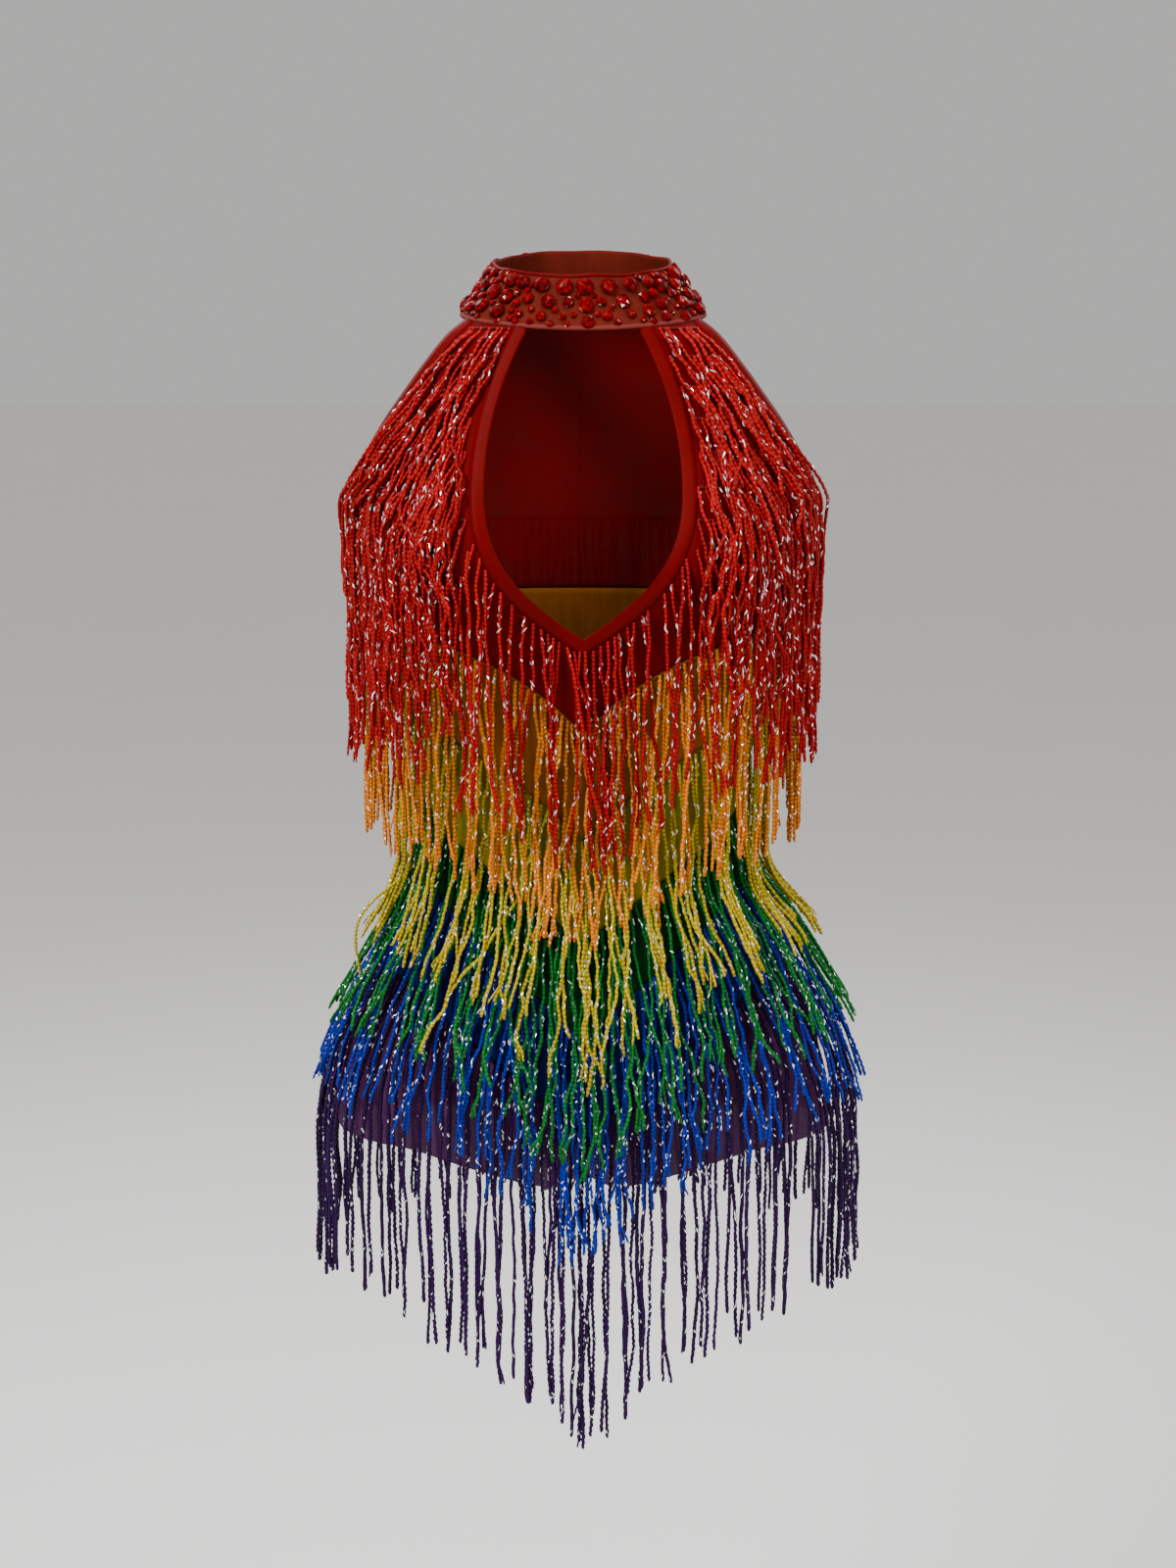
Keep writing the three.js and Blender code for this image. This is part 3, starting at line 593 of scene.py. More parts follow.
def gusset_parts():
    """The gusset: a cubic curve under the body for each column, from the front seam to the back seam.

    The curve is the Bezier sum of its two ends and of two points straight on from them down the figure.
    """
    turn = closed_in(np.linspace(-GUSSET["half"], GUSSET["half"], GUSSET["columns"]))
    ends = []
    for angle, z in ((turn, LEG["front_seam"] - SEAM), (math.pi - turn, LEG["back_seam"] - SEAM)):
        level = np.full_like(turn, z)
        start = cloth_points(angle, level)
        heading = unit(on_figure(angle, level - 1) - on_figure(angle, level))
        ends.append((start, start + GUSSET["run_on"] * heading))
    (p0, p1), (p3, p2) = ends
    t = np.linspace(0, 1, GUSSET["rows"])[:, None, None]
    points = (1 - t) ** 3 * p0 + 3 * (1 - t) ** 2 * t * p1 + 3 * (1 - t) * t**2 * p2 + t**3 * p3
    return [(points, grid_faces(GUSSET["rows"], GUSSET["columns"]))]


def swept(path, across, normal, profile, closed):
    """A profile carried along a path: the path's point, plus x times across, plus y times the normal.

    An open path is closed with one face at each end.
    """
    points = path[:, None] + profile[None, :, :1] * across[:, None] + profile[None, :, 1:] * normal[:, None]
    count, sides = points.shape[:2]
    faces = grid_faces(count, sides, wrap=True)
    flat = points.reshape(-1, 3)
    if closed:
        last = (count - 1) * sides
        k = np.arange(sides)
        ring = np.stack([last + k, k, (k + 1) % sides, last + (k + 1) % sides], axis=-1)
        return flat, [np.concatenate([faces, ring])]
    caps = np.stack([np.arange(sides)[::-1], (count - 1) * sides + np.arange(sides)])
    return flat, [faces, caps]


def turned_right(points, faces):
    """Flips all faces if the volume that they enclose is negative."""
    volume = 0.0
    for f in faces:
        for k in range(1, f.shape[1] - 1):
            a, b, c = points[f[:, 0]], points[f[:, k]], points[f[:, k + 1]]
            volume += np.einsum("ij,ij->i", a, np.cross(b, c)).sum()
    return faces if volume > 0 else [f[:, ::-1] for f in faces]


def binding_profile(width):
    """The folded section of a binding: the outer and inner lines of a thin U round the cloth's edge.

    Its bend is two half circles, one half the size of the other, and its legs thin out towards their ends.
    """
    turn = np.linspace(QUARTER, 3 * QUARTER, 7)
    outer = np.stack([np.cos(turn), np.sin(turn)], axis=-1)
    middle = width * 0.6
    return np.concatenate([
        [(width, 0.9), (middle, 1.05)],
        outer,
        [(middle, -1.05), (width, -0.9), (width, -0.4), (middle, -0.5)],
        outer[::-1] * 0.5,
        [(middle, 0.5), (width, 0.4)],
    ])


def edge_frame(angle, z, towards):
    """Path, direction into the cloth and normal along an edge of cloth.

    The direction is the normal crossed with the path's own direction, to the side that towards gives.
    """
    path = on_figure(angle, z)
    run = unit(np.gradient(path, axis=0))
    normal = outward(angle, z)
    return path - normal * CLOTH / 2, unit(np.cross(normal, run)) * towards, normal


def swept_uv(count, sides, length):
    """Coordinates of a swept piece in metres: along its path, and round its profile."""
    along_path = np.repeat(np.linspace(0, length, count), sides) * MM
    around = np.tile(np.arange(sides), count) * MM
    return np.stack([along_path, around], axis=-1)


def make_bindings(material):
    """The bindings: a thin folded U carried along each edge, in steps that grow shorter towards its foot.

    The keyhole's runs straight on past its point and is cut off at the centre plane, which makes the mitre.
    """
    t = np.linspace(0, 1, LAY["keyhole"])
    z = mix(collar_seam(0.0) - SEAM, KEYHOLE["point"], 1 - (1 - t) ** LAY["keyhole_power"])
    path, across, normal = edge_frame(keyhole_angle(z), z, 1)
    past = np.arange(LAY["step"], LAY["past"], LAY["step"])[:, None]
    path = np.concatenate([path, path[-1] + past * unit(path[-1] - path[-2])])
    across, normal = (np.concatenate([v, np.repeat(v[-1:], len(past), axis=0)]) for v in (across, normal))
    flat, (half, _) = swept(path, across, normal, binding_profile(KEYHOLE_BINDING), closed=False)
    flat[:, 0] = np.maximum(flat[:, 0], 0)
    points, quads = joined([(flat, half), (flat * (-1, 1, 1), half[:, ::-1])])
    length = run_along(path)[-1]
    uv = np.stack([points[:, 2] * MM, points[:, 0] * MM], axis=-1)
    piece = make_piece("keyhole_binding_satin", points, turned_right(points, [quads]), uv=uv)
    finish_piece(piece, material, ["keyhole_binding"])
    t = np.linspace(-1, 1, LAY["armhole"])
    front = t <= 0
    top = np.where(front, collar_seam(LAY["front"]), collar_seam(math.pi - LAY["back"])) - SEAM
    z = mix(top, ARMHOLE_BOTTOM, 1 - np.abs(t) ** LAY["armhole_power"])
    turn = np.where(front, armhole_angle(z), math.pi - armhole_angle(z))
    profile = binding_profile(ARMHOLE_BINDING)
    for name, side in (("right", 1), ("left", -1)):
        path, across, normal = edge_frame(side * turn, z, side)
        points, faces = swept(path, across, normal, profile, closed=False)
        length = run_along(path)[-1]
        uv = swept_uv(len(t), len(profile), length)
        piece = make_piece(f"armhole_binding_satin_{name}", points, turned_right(points, faces), uv=uv)
        finish_piece(piece, material, [f"armhole_binding_{name}"])


def collar_point(angle, rise):
    """The collar's surface: a straight mix from the neck seam to the upper ring, drawn in at its middle.

    It is drawn in by rise times (1 - rise). Also gives its normal, its way up and its way round the body.
    """
    angle, rise = np.broadcast_arrays(angle, rise)
    seam = on_figure(angle, collar_seam(angle))
    facing = np.where(np.cos(angle) > 0, COLLAR["front"], COLLAR["back"])
    height = COLLAR["middle"] - COLLAR["tilt"] * np.cos(angle)
    rim = np.stack([COLLAR["width"] * np.sin(angle), -facing * np.cos(angle), height], axis=-1)
    normal = unit(np.cross(round_way(angle), rim - seam))
    middle = mix(seam, rim, rise[..., None]) - COLLAR["drawn"] * (rise * (1 - rise))[..., None] * normal
    return middle, normal, unit(rim - seam), round_way(angle)


def collar_wave(angle, rise):
    """How far the collar waves in and out: sines of seven and eleven waves, times the height squared."""
    return (0.7 * np.sin(angle * 7 + 1) + 0.5 * np.sin(angle * 11)) * rise**2


def make_collar(material, rows=26, columns=240):
    """The collar band, with a slightly wavy upper edge."""
    angle = np.linspace(0, TURN, columns, endpoint=False)
    rise = np.linspace(0, 1, rows)[:, None]
    middle, normal, _, _ = collar_point(angle, rise)
    points = middle + collar_wave(angle, rise)[..., None] * normal
    flat = points.reshape(-1, 3)
    piece = make_piece(
        "collar_band", flat, [grid_faces(rows, columns, wrap=True)[:, ::-1]], uv=cloth_uv(flat)
    )
    thicken(piece, COLLAR_CLOTH)
    finish_piece(piece, material, ["collar"])


def make_collar_trims(**materials):
    """The collar's soft hem along the seam and thin elastic along its top: flat ovals carried round it."""
    turn = np.linspace(0, TURN, 240, endpoint=False)
    oval = np.linspace(0, TURN, 8, endpoint=False)
    for name, material in materials.items():
        rise, half, thick = COLLAR_TRIMS[name]
        middle, normal, up, _ = collar_point(turn, rise)
        path = middle + collar_wave(turn, rise)[:, None] * normal
        profile = np.stack([half * np.cos(oval), thick * np.sin(oval)], axis=-1)
        points, faces = swept(path, up, normal, profile, closed=True)
        piece = make_piece(f"collar_{name}", points, turned_right(points, faces), uv=cloth_uv(points))
        finish_piece(piece, material)


# A stone of radius one: radius and height of each ring of corners, and whether it is turned half a step.
STONE_RINGS = [(0.86, 0.0, 0), (1.0, 0.22, 1), (0.78, 0.5, 0), (0.42, 0.66, 1)]


def stone_shape():
    """A round faceted stone of radius one: rings of eight corners, alternate rings turned half a step."""
    k = np.arange(8)
    after = (k + 1) % 8
    points = []
    for r, height, half in STONE_RINGS:
        turn = k * math.pi / 4 + half * math.pi / 8
        points.append(np.stack([r * np.cos(turn), r * np.sin(turn), np.full(8, height)], axis=-1))
    faces = []
    for ring, (_, _, half) in enumerate(STONE_RINGS[:-1]):
        a, b = ring * 8 + k, ring * 8 + after
        c, d = a + 8, b + 8
        pair = ((a, d, c), (a, b, d)) if half else ((a, b, c), (c, b, d))
        faces += [np.stack(corners, axis=-1) for corners in pair]
    base = np.stack([np.zeros(6, int), np.arange(2, 8), np.arange(1, 7)], axis=-1)
    return np.concatenate(points), np.concatenate(faces + [24 + base[:, [0, 2, 1]], base])


# Stones at the collar's centre front: millimetres from the middle, height as a share of the band, radius.
FRONT_STONES = [
    (-44, 0.80, 5.0), (-29, 0.79, 5.4), (-13, 0.78, 5.6), (1, 0.78, 5.7), (18, 0.77, 5.6), (33, 0.79, 5.2),
    (47, 0.80, 5.0), (-37, 0.53, 4.2), (-23, 0.50, 5.0), (-10, 0.50, 3.7), (2, 0.44, 5.2), (12, 0.51, 3.5),
    (26, 0.50, 5.0), (41, 0.54, 4.2), (-40, 0.24, 3.3), (-26, 0.22, 3.6), (-13, 0.24, 2.5), (3, 0.13, 4.4),
    (15, 0.25, 3.6), (21, 0.12, 2.7), (30, 0.26, 3.4), (-33, 0.34, 2.4), (-18, 0.36, 2.4), (-4, 0.62, 2.3),
    (7, 0.63, 2.2), (-10, 0.10, 2.3), (-20, 0.09, 2.5), (36, 0.13, 2.5), (-6, 0.27, 2.2), (9, 0.29, 2.3),
    (19, 0.40, 2.3), (-32, 0.11, 2.4),
]
# Stones scattered over the rest: radius, how many, and how close two may be as a share of their radii.
LOOSE_STONES = [(5.4, 60, 0.97), (3.8, 120, 0.9), (2.5, 260, 0.85)]
# The band's height and mean radius. Half the width whose stones are listed one by one, tries for each loose
# stone, and how its size varies.
COLLAR_HEIGHT = 39
COLLAR_GIRTH = 66
LAID = 36
TRIES = 9
SIZES = (0.88, 1.08)
# How a stone stands: its height as a share of its radius and in millimetres, and how much it tilts.
SEAT = {"share": 0.08, "off": 0.4, "tilt": 0.09}
# Powers of two random numbers for each facet: how rarely it shows a painted glint, which glows, and how deep
# its red is, a painted light and shade that varies from facet to facet.
FACETS = {"painted_glint": 110, "depth": 1.7}


def stone_places(rng):
    """Places of the stones: the front's listed one by one, the rest thrown at random where there is still
    room.
    """
    places = [(x, rise * COLLAR_HEIGHT, size) for x, rise, size in FRONT_STONES]
    half = math.pi * COLLAR_GIRTH
    for size, count, close in LOOSE_STONES:
        tries = count * TRIES
        for x, y in zip(rng.uniform(-half, half, tries), rng.uniform(size, COLLAR_HEIGHT - size, tries)):
            if abs(x) < LAID:
                continue
            near = np.array(places)
            across = np.abs(near[:, 0] - x)
            across = np.minimum(across, 2 * half - across)
            if (np.hypot(across, near[:, 1] - y) > close * (near[:, 2] + size)).all():
                places.append((x, y, size * rng.uniform(*SIZES)))
    return np.array(places)


def make_stones(material):
    """Stones set on the collar: copies of one faceted shape, turned to the band's normal and tilted.

    A corner is the stone's place, plus its size times the shape's x, y and height along three directions.
    """
    rng = np.random.default_rng(11)
    x, y, size = stone_places(rng).T
    count = len(x)
    middle, normal, up, level = collar_point(x / COLLAR_GIRTH, y / COLLAR_HEIGHT)
    middle = middle + (SEAT["share"] * size + SEAT["off"])[:, None] * normal
    tilt = rng.normal(0, SEAT["tilt"], (count, 2))
    axis = unit(normal + tilt[:, :1] * up + tilt[:, 1:] * level)
    first = unit(np.cross(axis, up))
    second = np.cross(axis, first)
    spin = rng.uniform(0, TURN, count)[:, None]
    across = np.cos(spin) * first + np.sin(spin) * second
    along_side = -np.sin(spin) * first + np.cos(spin) * second
    shape, faces = stone_shape()
    turned = sum(shape[None, :, [k]] * way[:, None] for k, way in enumerate((across, along_side, axis)))
    points = (middle[:, None] + size[:, None, None] * turned).reshape(-1, 3)
    all_faces = (faces[None] + (np.arange(count) * len(shape))[:, None, None]).reshape(-1, 3)
    tint = np.repeat(rng.uniform(0, 1, count), len(shape))
    faces = turned_right(points, [all_faces])
    piece = make_piece("collar_stones", points, faces, smooth_faces=False, attributes={"tint": tint})
    # Per facet: a painted glint that glows, and painted light and shade as a deeper or lighter red.
    for label, power in FACETS.items():
        values = rng.uniform(0, 1, len(all_faces)) ** power
        layer = piece.data.attributes.new(label, "FLOAT", "FACE")
        layer.data.foreach_set("value", values.astype(np.float32))
    finish_piece(piece, material)


# Fringe


def hang(angle, z, lift, length, rng, sway, drift=0.0, limit=math.inf, fuller=0.0):
    """Centre lines of hanging strands, an array of strands by steps, and how far down each point is.

    A strand falls straight down in z. Sideways it adds up a pull towards its group, a lean that grows with
    the drop, three sine waves and a crook at its end. Drift turns it further, but no point past the limit.
    Its distance from the axis is the running maximum, going down, of the body's radius plus a gap that grows
    with the drop, plus fuller below the waist by two smooth steps. That is evened out over five points, so a
    strand lies on what is below it and hangs free past a bulge. A loose gap and a flutter are added to it.
    """
    count = len(angle)
    root = radius(angle, z)
    steps = int(length.max() / STRAND["step"])
    share = np.linspace(0, 1, steps)[None, :]
    drop = share * length[:, None]
    group = np.cumsum(rng.random(count) < GROUP["begin"])
    groups = group.max() + 1
    centre = np.bincount(group, angle * root) / np.maximum(np.bincount(group), 1)
    target = centre[group] + rng.normal(0, GROUP["off"], groups)[group]
    target = target + rng.normal(0, GROUP["strand_off"], count)
    pull = min(1, sway) * rng.uniform(*GROUP["pull"], groups)[group] * (target - angle * root)
    stray = (rng.random(count) < LEAN["strays"]) * rng.normal(0, LEAN["stray"], count)
    lean = (rng.normal(0, LEAN["usual"], count) + stray) * sway
    waves = sum(
        (size * sway * rng.uniform(*WAVE_SIZES, count))[:, None]
        * np.sin(TURN * drop / rng.uniform(*span, count)[:, None] + rng.uniform(*PHASE, count)[:, None])
        for size, span in WAVES
    )
    fade = smooth(drop / FALL["wave"])
    bend = smooth((share - CROOK["from"]) / (1 - CROOK["from"])) ** CROOK["power"]
    crook = (rng.normal(0, CROOK["size"], count) * sway)[:, None] * bend
    sideways = pull[:, None] * smooth(share * FALL["gather"]) + lean[:, None] * drop + waves * fade + crook
    turned = np.minimum(angle[:, None] + sideways / root[:, None] + drift, limit)
    height = z[:, None] - drop
    wider = fuller * smooth(drop / WAIST["drop"]) * smooth((WAIST["z"] - height) / WAIST["below"])
    out = np.maximum.accumulate(radius(turned, height) + STRAND["off"] + lift * drop + wider, axis=1)
    padded = np.pad(out, ((0, 0), (2, 2)), mode="edge")
    out = sum(weight / 9 * padded[:, k:k + steps] for k, weight in enumerate((1, 2, 3, 2, 1)))
    loose = rng.uniform(*FLUTTER["loose"], count)[:, None] * smooth(drop / FALL["loose"])
    flutter = rng.uniform(*FLUTTER["size"], count)[:, None]
    flutter = flutter * np.sin(drop / rng.uniform(*FLUTTER["length"], count)[:, None]) * fade
    sewn = root[:, None] + STRAND["off"] - STRAND["sewn"]
    return place(turned, height, mix(sewn, out + loose + flutter, smooth(drop / FALL["leave"]))), drop


def across_strand(tangent, points):
    """Two directions across a strand: sideways, and outwards at right angles to it."""
    side = unit(np.cross(tangent, unit(points * (1, 1, 0))))
    return side, np.cross(side, tangent)


def strand_mesh(lines, drop, rng, thick_as=1.0):
    """Twisted cord round each centre line: rings of three corners, each a sixth of a turn on from the last.

    A corner is the line's point plus the radius times (cosine sideways and sine outwards) of its turn.
    """
    count, steps = lines.shape[:2]
    side, out = across_strand(unit(np.gradient(lines, axis=1)), lines)
    k = np.arange(3)
    ring = np.arange(steps)
    phase = rng.uniform(*PHASE, count)[:, None, None]
    turn = k[None, None, :] * TURN / 3 + ring[None, :, None] * math.pi / 3 + phase
    thick = thick_as * STRAND["radius"] * rng.uniform(*STRAND["thick"], count)[:, None]
    thick = thick * (1 + rng.normal(0, STRAND["lumps"], (count, steps)))
    thick[:, [0, -1]] *= STRAND["end"]
    points = lines[:, :, None] + thick[:, :, None, None] * (
        np.cos(turn)[..., None] * side[:, :, None] + np.sin(turn)[..., None] * out[:, :, None]
    )
    base = (np.arange(count) * steps * 3)[:, None, None]
    low = base + ring[None, :-1, None] * 3 + k
    low_next = base + ring[None, :-1, None] * 3 + (k + 1) % 3
    high, high_next = low + 3, low_next + 3
    around = np.stack([low, low_next, high], axis=-1).reshape(-1, 3)
    between = np.stack([high, low_next, high_next], axis=-1).reshape(-1, 3)
    first = base[:, 0] + k[::-1]
    last = base[:, 0] + (steps - 1) * 3 + k
    flat = points.reshape(-1, 3)
    faces = turned_right(flat, [np.concatenate([around, between, first, last])])[0]
    tint = np.repeat(rng.uniform(0, 1, count), steps * 3)
    return flat, faces, {"run": np.repeat(drop.reshape(-1), 3) * MM, "tint": tint}


def split_ends(lines, drop, forks, rng):
    """Frayed ends: on a share of the strands a second end leaves near the foot.

    It leaves sideways by a power of its share of the way, and outwards and up in line with that share.
    """
    count, steps = lines.shape[:2]
    chosen = rng.permutation(count)[: max(1, int(count * forks))]
    first = int(steps * FORK["from"])
    ends = lines[chosen, first:]
    share = np.linspace(0, 1, ends.shape[1])[None, :, None]
    sideways = round_way(angle_of(ends))
    out = unit(ends * (1, 1, 0))
    reach = (rng.choice([-1, 1], len(chosen)) * rng.uniform(*FORK["side"], len(chosen)))[:, None, None]
    off = rng.uniform(*FORK["out"], len(chosen))[:, None, None]
    up = rng.uniform(*FORK["up"], len(chosen))[:, None, None] * (0, 0, 1)
    bent = ends + reach * share ** FORK["power"] * sideways + (off * out + up) * share
    return bent, drop[chosen, first:]


def merged(parts):
    """Joins strand meshes, each (points, faces, attributes), into one."""
    offsets = np.cumsum([0] + [len(points) for points, _, _ in parts[:-1]])
    points = np.concatenate([points for points, _, _ in parts])
    faces = np.concatenate([f + offset for (_, f, _), offset in zip(parts, offsets)])
    names = parts[0][2]
    return points, faces, {name: np.concatenate([a[name] for _, _, a in parts]) for name in names}


def tinsel_mesh(lines, drop, rng, gap, size):
    """Tinsel flecks: slim slivers of four faces on the cords' surfaces, at random places along them.

    Two corners are half a length up and down a slanted line from the seat, two half a width to its sides.
    """
    count, steps = lines.shape[:2]
    each = np.maximum((drop[:, -1] / gap).astype(int), 1)
    strand = np.repeat(np.arange(count), each)
    flecks = len(strand)
    at = rng.uniform(*FLECK["along"], flecks) * (steps - 1)
    i = at.astype(int)
    before, after = lines[strand, i], lines[strand, i + 1]
    centre = mix(before, after, (at - i)[:, None])
    tangent = unit(after - before)
    side, out = across_strand(tangent, centre)
    turn = rng.normal(QUARTER, FLECK["round"], flecks)[:, None]
    normal = np.cos(turn) * side + np.sin(turn) * out
    long_way = unit(tangent + rng.normal(0, FLECK["slant"], flecks)[:, None] * np.cross(tangent, normal))
    half = size * rng.uniform(*FLECK["long"], flecks)[:, None] * long_way
    wide = rng.uniform(*FLECK["wide"], flecks)[:, None] * np.cross(long_way, normal)
    seat = centre + normal * STRAND["radius"] * FLECK["seat"]
    raised = seat + normal * FLECK["rise"]
    points = np.stack([seat - half, seat + half, raised + wide, raised - wide], axis=1).reshape(-1, 3)
    base = (np.arange(flecks) * 4)[:, None]
    faces = np.concatenate([base + f for f in ((0, 2, 3), (1, 3, 2), (0, 1, 2), (0, 3, 1))])
    # Each fleck's share of a painted glint: how brightly it glows.
    glint = np.repeat(rng.uniform(0, 1, flecks), 4)
    return points, turned_right(points, [faces])[0], {"glint": glint}


def heading_mesh(angle, z, closed, sides=6):
    """A fringe's heading: a thin flat oval cord carried along its seam, with ribs that are a small sine."""
    path = place(angle, z, radius(angle, z) + HEADING["off"])
    forward = unit(np.gradient(path, axis=0))
    normal = outward(angle, z)
    turn = np.linspace(0, TURN, sides, endpoint=False)
    profile = np.stack([HEADING["wide"] * np.cos(turn), HEADING["thick"] * np.sin(turn)], axis=-1)
    ribs = 1 + HEADING["rib"] * np.sin(np.arange(len(path)) * HEADING["pitch"])[:, None]
    points, faces = swept(path, np.cross(normal, forward) * ribs, normal * ribs, profile, closed)
    quads = turned_right(points, faces[:1])[0]
    triangles = np.concatenate([quads[:, :3], quads[:, [0, 2, 3]]])
    if not closed:
        for ring in (np.arange(sides), len(points) - sides + np.arange(sides)):
            fan = np.stack([np.full(sides - 2, ring[0]), ring[1:-1], ring[2:]], axis=-1)
            outer = np.cross(*(points[fan[0, k]] - points[fan[0, 0]] for k in (1, 2)))
            away = points[ring].mean(axis=0) - points.mean(axis=0)
            triangles = np.concatenate([triangles, fan if outer @ away > 0 else fan[:, ::-1]])
    run = np.arange(len(points)) * HEADING["run"]
    return points, triangles, {"run": run, "tint": np.full(len(points), HEADING["tint"])}


def roots_round(colour, spacing, rng):
    """Even places along a seam all round the body, by its length, each a little off."""
    turn = np.linspace(-math.pi, math.pi, 2400)
    run = run_along(on_figure(turn, seam_height(colour, turn)))
    count = int(run[-1] / spacing)
    at = (np.arange(count) + 0.5 + rng.uniform(-JITTER["row"], JITTER["row"], count)) * run[-1] / count
    return np.interp(at, run, turn)


def root_height(colour, angle):
    """Height that a row is sewn at: its seam's, but the red row keeps close under the keyhole's binding.

    The binding's outer edge is the keyhole's edge moved sideways by its width. The row leaves it by a
    smooth step.
    """
    seam = seam_height(colour, angle)
    if colour != "red":
        return seam
    z = np.linspace(KEYHOLE["point"] + 0.5, KEYHOLE["z"], 80)
    path, across, _ = edge_frame(keyhole_angle(z), z, 1)
    edge = path - (KEYHOLE_BINDING + SEWN_UNDER) * across
    turn = np.abs(signed(angle))
    height = np.interp(turn, angle_of(edge), edge[:, 2])
    kept = 1 - smooth((turn / DEGREE - KEPT_CLOSE[0]) / (KEPT_CLOSE[1] - KEPT_CLOSE[0]))
    return mix(seam, np.maximum(height, seam), kept)


def make_fringe(name, node_names, hung, headings, row, rope, silver, rng):
    """One fringe: its cords, with their forked ends and headings in one mesh, and its tinsel in another.

    What is hung is a list of (centre lines, drops).
    """
    parts = list(headings)
    slivers = []
    for lines, drop in hung:
        parts.append(strand_mesh(lines, drop, rng, row["thick"]))
        ends = split_ends(lines, drop, row["forks"], rng)
        parts.append(strand_mesh(*ends, rng, row["thick"] * FORK["thick"]))
        slivers.append(tinsel_mesh(lines, drop, rng, row["fleck_gap"], row["fleck"]))
    points, faces, attributes = merged(parts)
    cords = make_piece(f"{name}_cords", points, [faces], attributes=attributes)
    finish_piece(cords, rope, node_names)
    points, faces, attributes = merged(slivers)
    tinsel = make_piece(f"{name}_tinsel", points, [faces], smooth_faces=False, attributes=attributes)
    finish_piece(tinsel, silver)


def curled_cord():
    """One loose cord: a Bezier curve, the sum of C(n, k) t^k (1 - t)^(n - k) times each control point."""
    n = len(CURL) - 1
    t = np.linspace(0, 1, 64)[:, None]
    line = sum(math.comb(n, k) * t**k * (1 - t) ** (n - k) * point for k, point in enumerate(CURL))
    return line[None], run_along(line)[None]


def make_ring_fringe(colour, rope, silver, seed):
    """One trim all round: strands at even gaps along the seam, under a thin heading.

    A strand's length adds a bell at the centre front, takes off a bell beside it and varies by a draw.
    Its fuller hang is the square of the sine of its angle, at both sides and again at the wearer's left.
    """
    rng = np.random.default_rng(seed)
    row = FRINGES[colour]
    red = colour == "red"
    angle = roots_round(colour, row["spacing"], rng)
    if red:
        turn = np.abs(angle) / DEGREE
        beside = (turn > SPARSE["from"]) & (turn < SPARSE["to"])
        angle = angle[~beside | (rng.random(len(angle)) > SPARSE["share"])]
    length = row["length"] + row["middle"] * bell(angle / MIDDLE)
    length = length - row["beside"] * bell((np.abs(angle) - BESIDE[0]) / BESIDE[1])
    length = length + row["uneven"] * rng.normal(0, 1, len(angle)).clip(*UNEVEN)
    both, left = FULLER.get(colour, (0, 0))
    fuller = (both * np.sin(angle) ** 2 + left * np.maximum(np.sin(angle), 0) ** 2)[:, None]
    z = root_height(colour, angle) + STRAND["above"]
    hung = [hang(angle, z, row["lift"], length, rng, row["sway"], fuller=fuller)]
    if colour == "yellow":
        hung.append(curled_cord())
    if red:
        turn = np.linspace(HEADING_FROM, TURN - HEADING_FROM, 560)
    else:
        turn = np.linspace(-math.pi, math.pi, 620, endpoint=False)
    heading = heading_mesh(turn, root_height(colour, turn), not red)
    name = f"fringe_{colour}"
    make_fringe(name, [name], hung, [heading], row, rope, silver, rng)


def make_halter_fringe(rope, silver):
    """Trims across each strap.

    Down to the chest a strand keeps its share of the way between the two bindings: its drift is that angle
    less the one at its root. Its limit is the armhole's edge, and opens out with the drop below that.
    """
    for name, side in (("right", 1), ("left", -1)):
        rng = np.random.default_rng(40 + side)
        hung, headings = [], []
        for level, reach in HALTER_ROWS:
            mean = float(radius(BUST["angle"], level))
            inner_gap = (KEYHOLE_BINDING + HALTER["inner"]) / mean
            outer_gap = (ARMHOLE_BINDING + HALTER["outer"]) / mean
            inner = float(keyhole_angle(level)) + inner_gap
            outer = float(armhole_angle(level)) - outer_gap
            count = int((outer - inner) * mean * HALTER["closer"] / HALTER["spacing"])
            jitter = rng.uniform(-JITTER["strap"], JITTER["strap"], count)
            share = (np.arange(count) + 0.5 + jitter) / count
            length = reach + rng.normal(0, HALTER["uneven"], count)
            steps = int(length.max() / STRAND["step"])
            height = level - np.linspace(0, 1, steps)[None, :] * length[:, None]
            resting = np.maximum(height, min(level, HALTER["rest"]))
            from_edge, to_edge = keyhole_angle(resting) + inner_gap, armhole_angle(resting) - outer_gap
            kept = mix(from_edge, to_edge, share[:, None])
            angle = mix(inner, outer, share)
            drift = kept - kept[:, :1]
            below = np.maximum(ARMHOLE_BOTTOM - height, 0)
            limit = armhole_angle(height) - HALTER["rim"] / mean + HALTER["open"] * below
            z = np.full(count, level + STRAND["above"])
            lines, drop = hang(angle, z, HALTER["lift"], length, rng, HALTER["sway"], drift, limit)
            hung.append((lines * (side, 1, 1), drop))
            turn = side * np.linspace(angle.min(), angle.max(), 50)
            headings.append(heading_mesh(turn, np.full(50, float(level)), False))
        full = f"halter_fringe_{name}"
        nodes = [f"{full}_{k}" for k in (1, 2, 3)]
        make_fringe(full, nodes, hung, headings, FRINGES["red"], rope, silver, rng)


# Materials


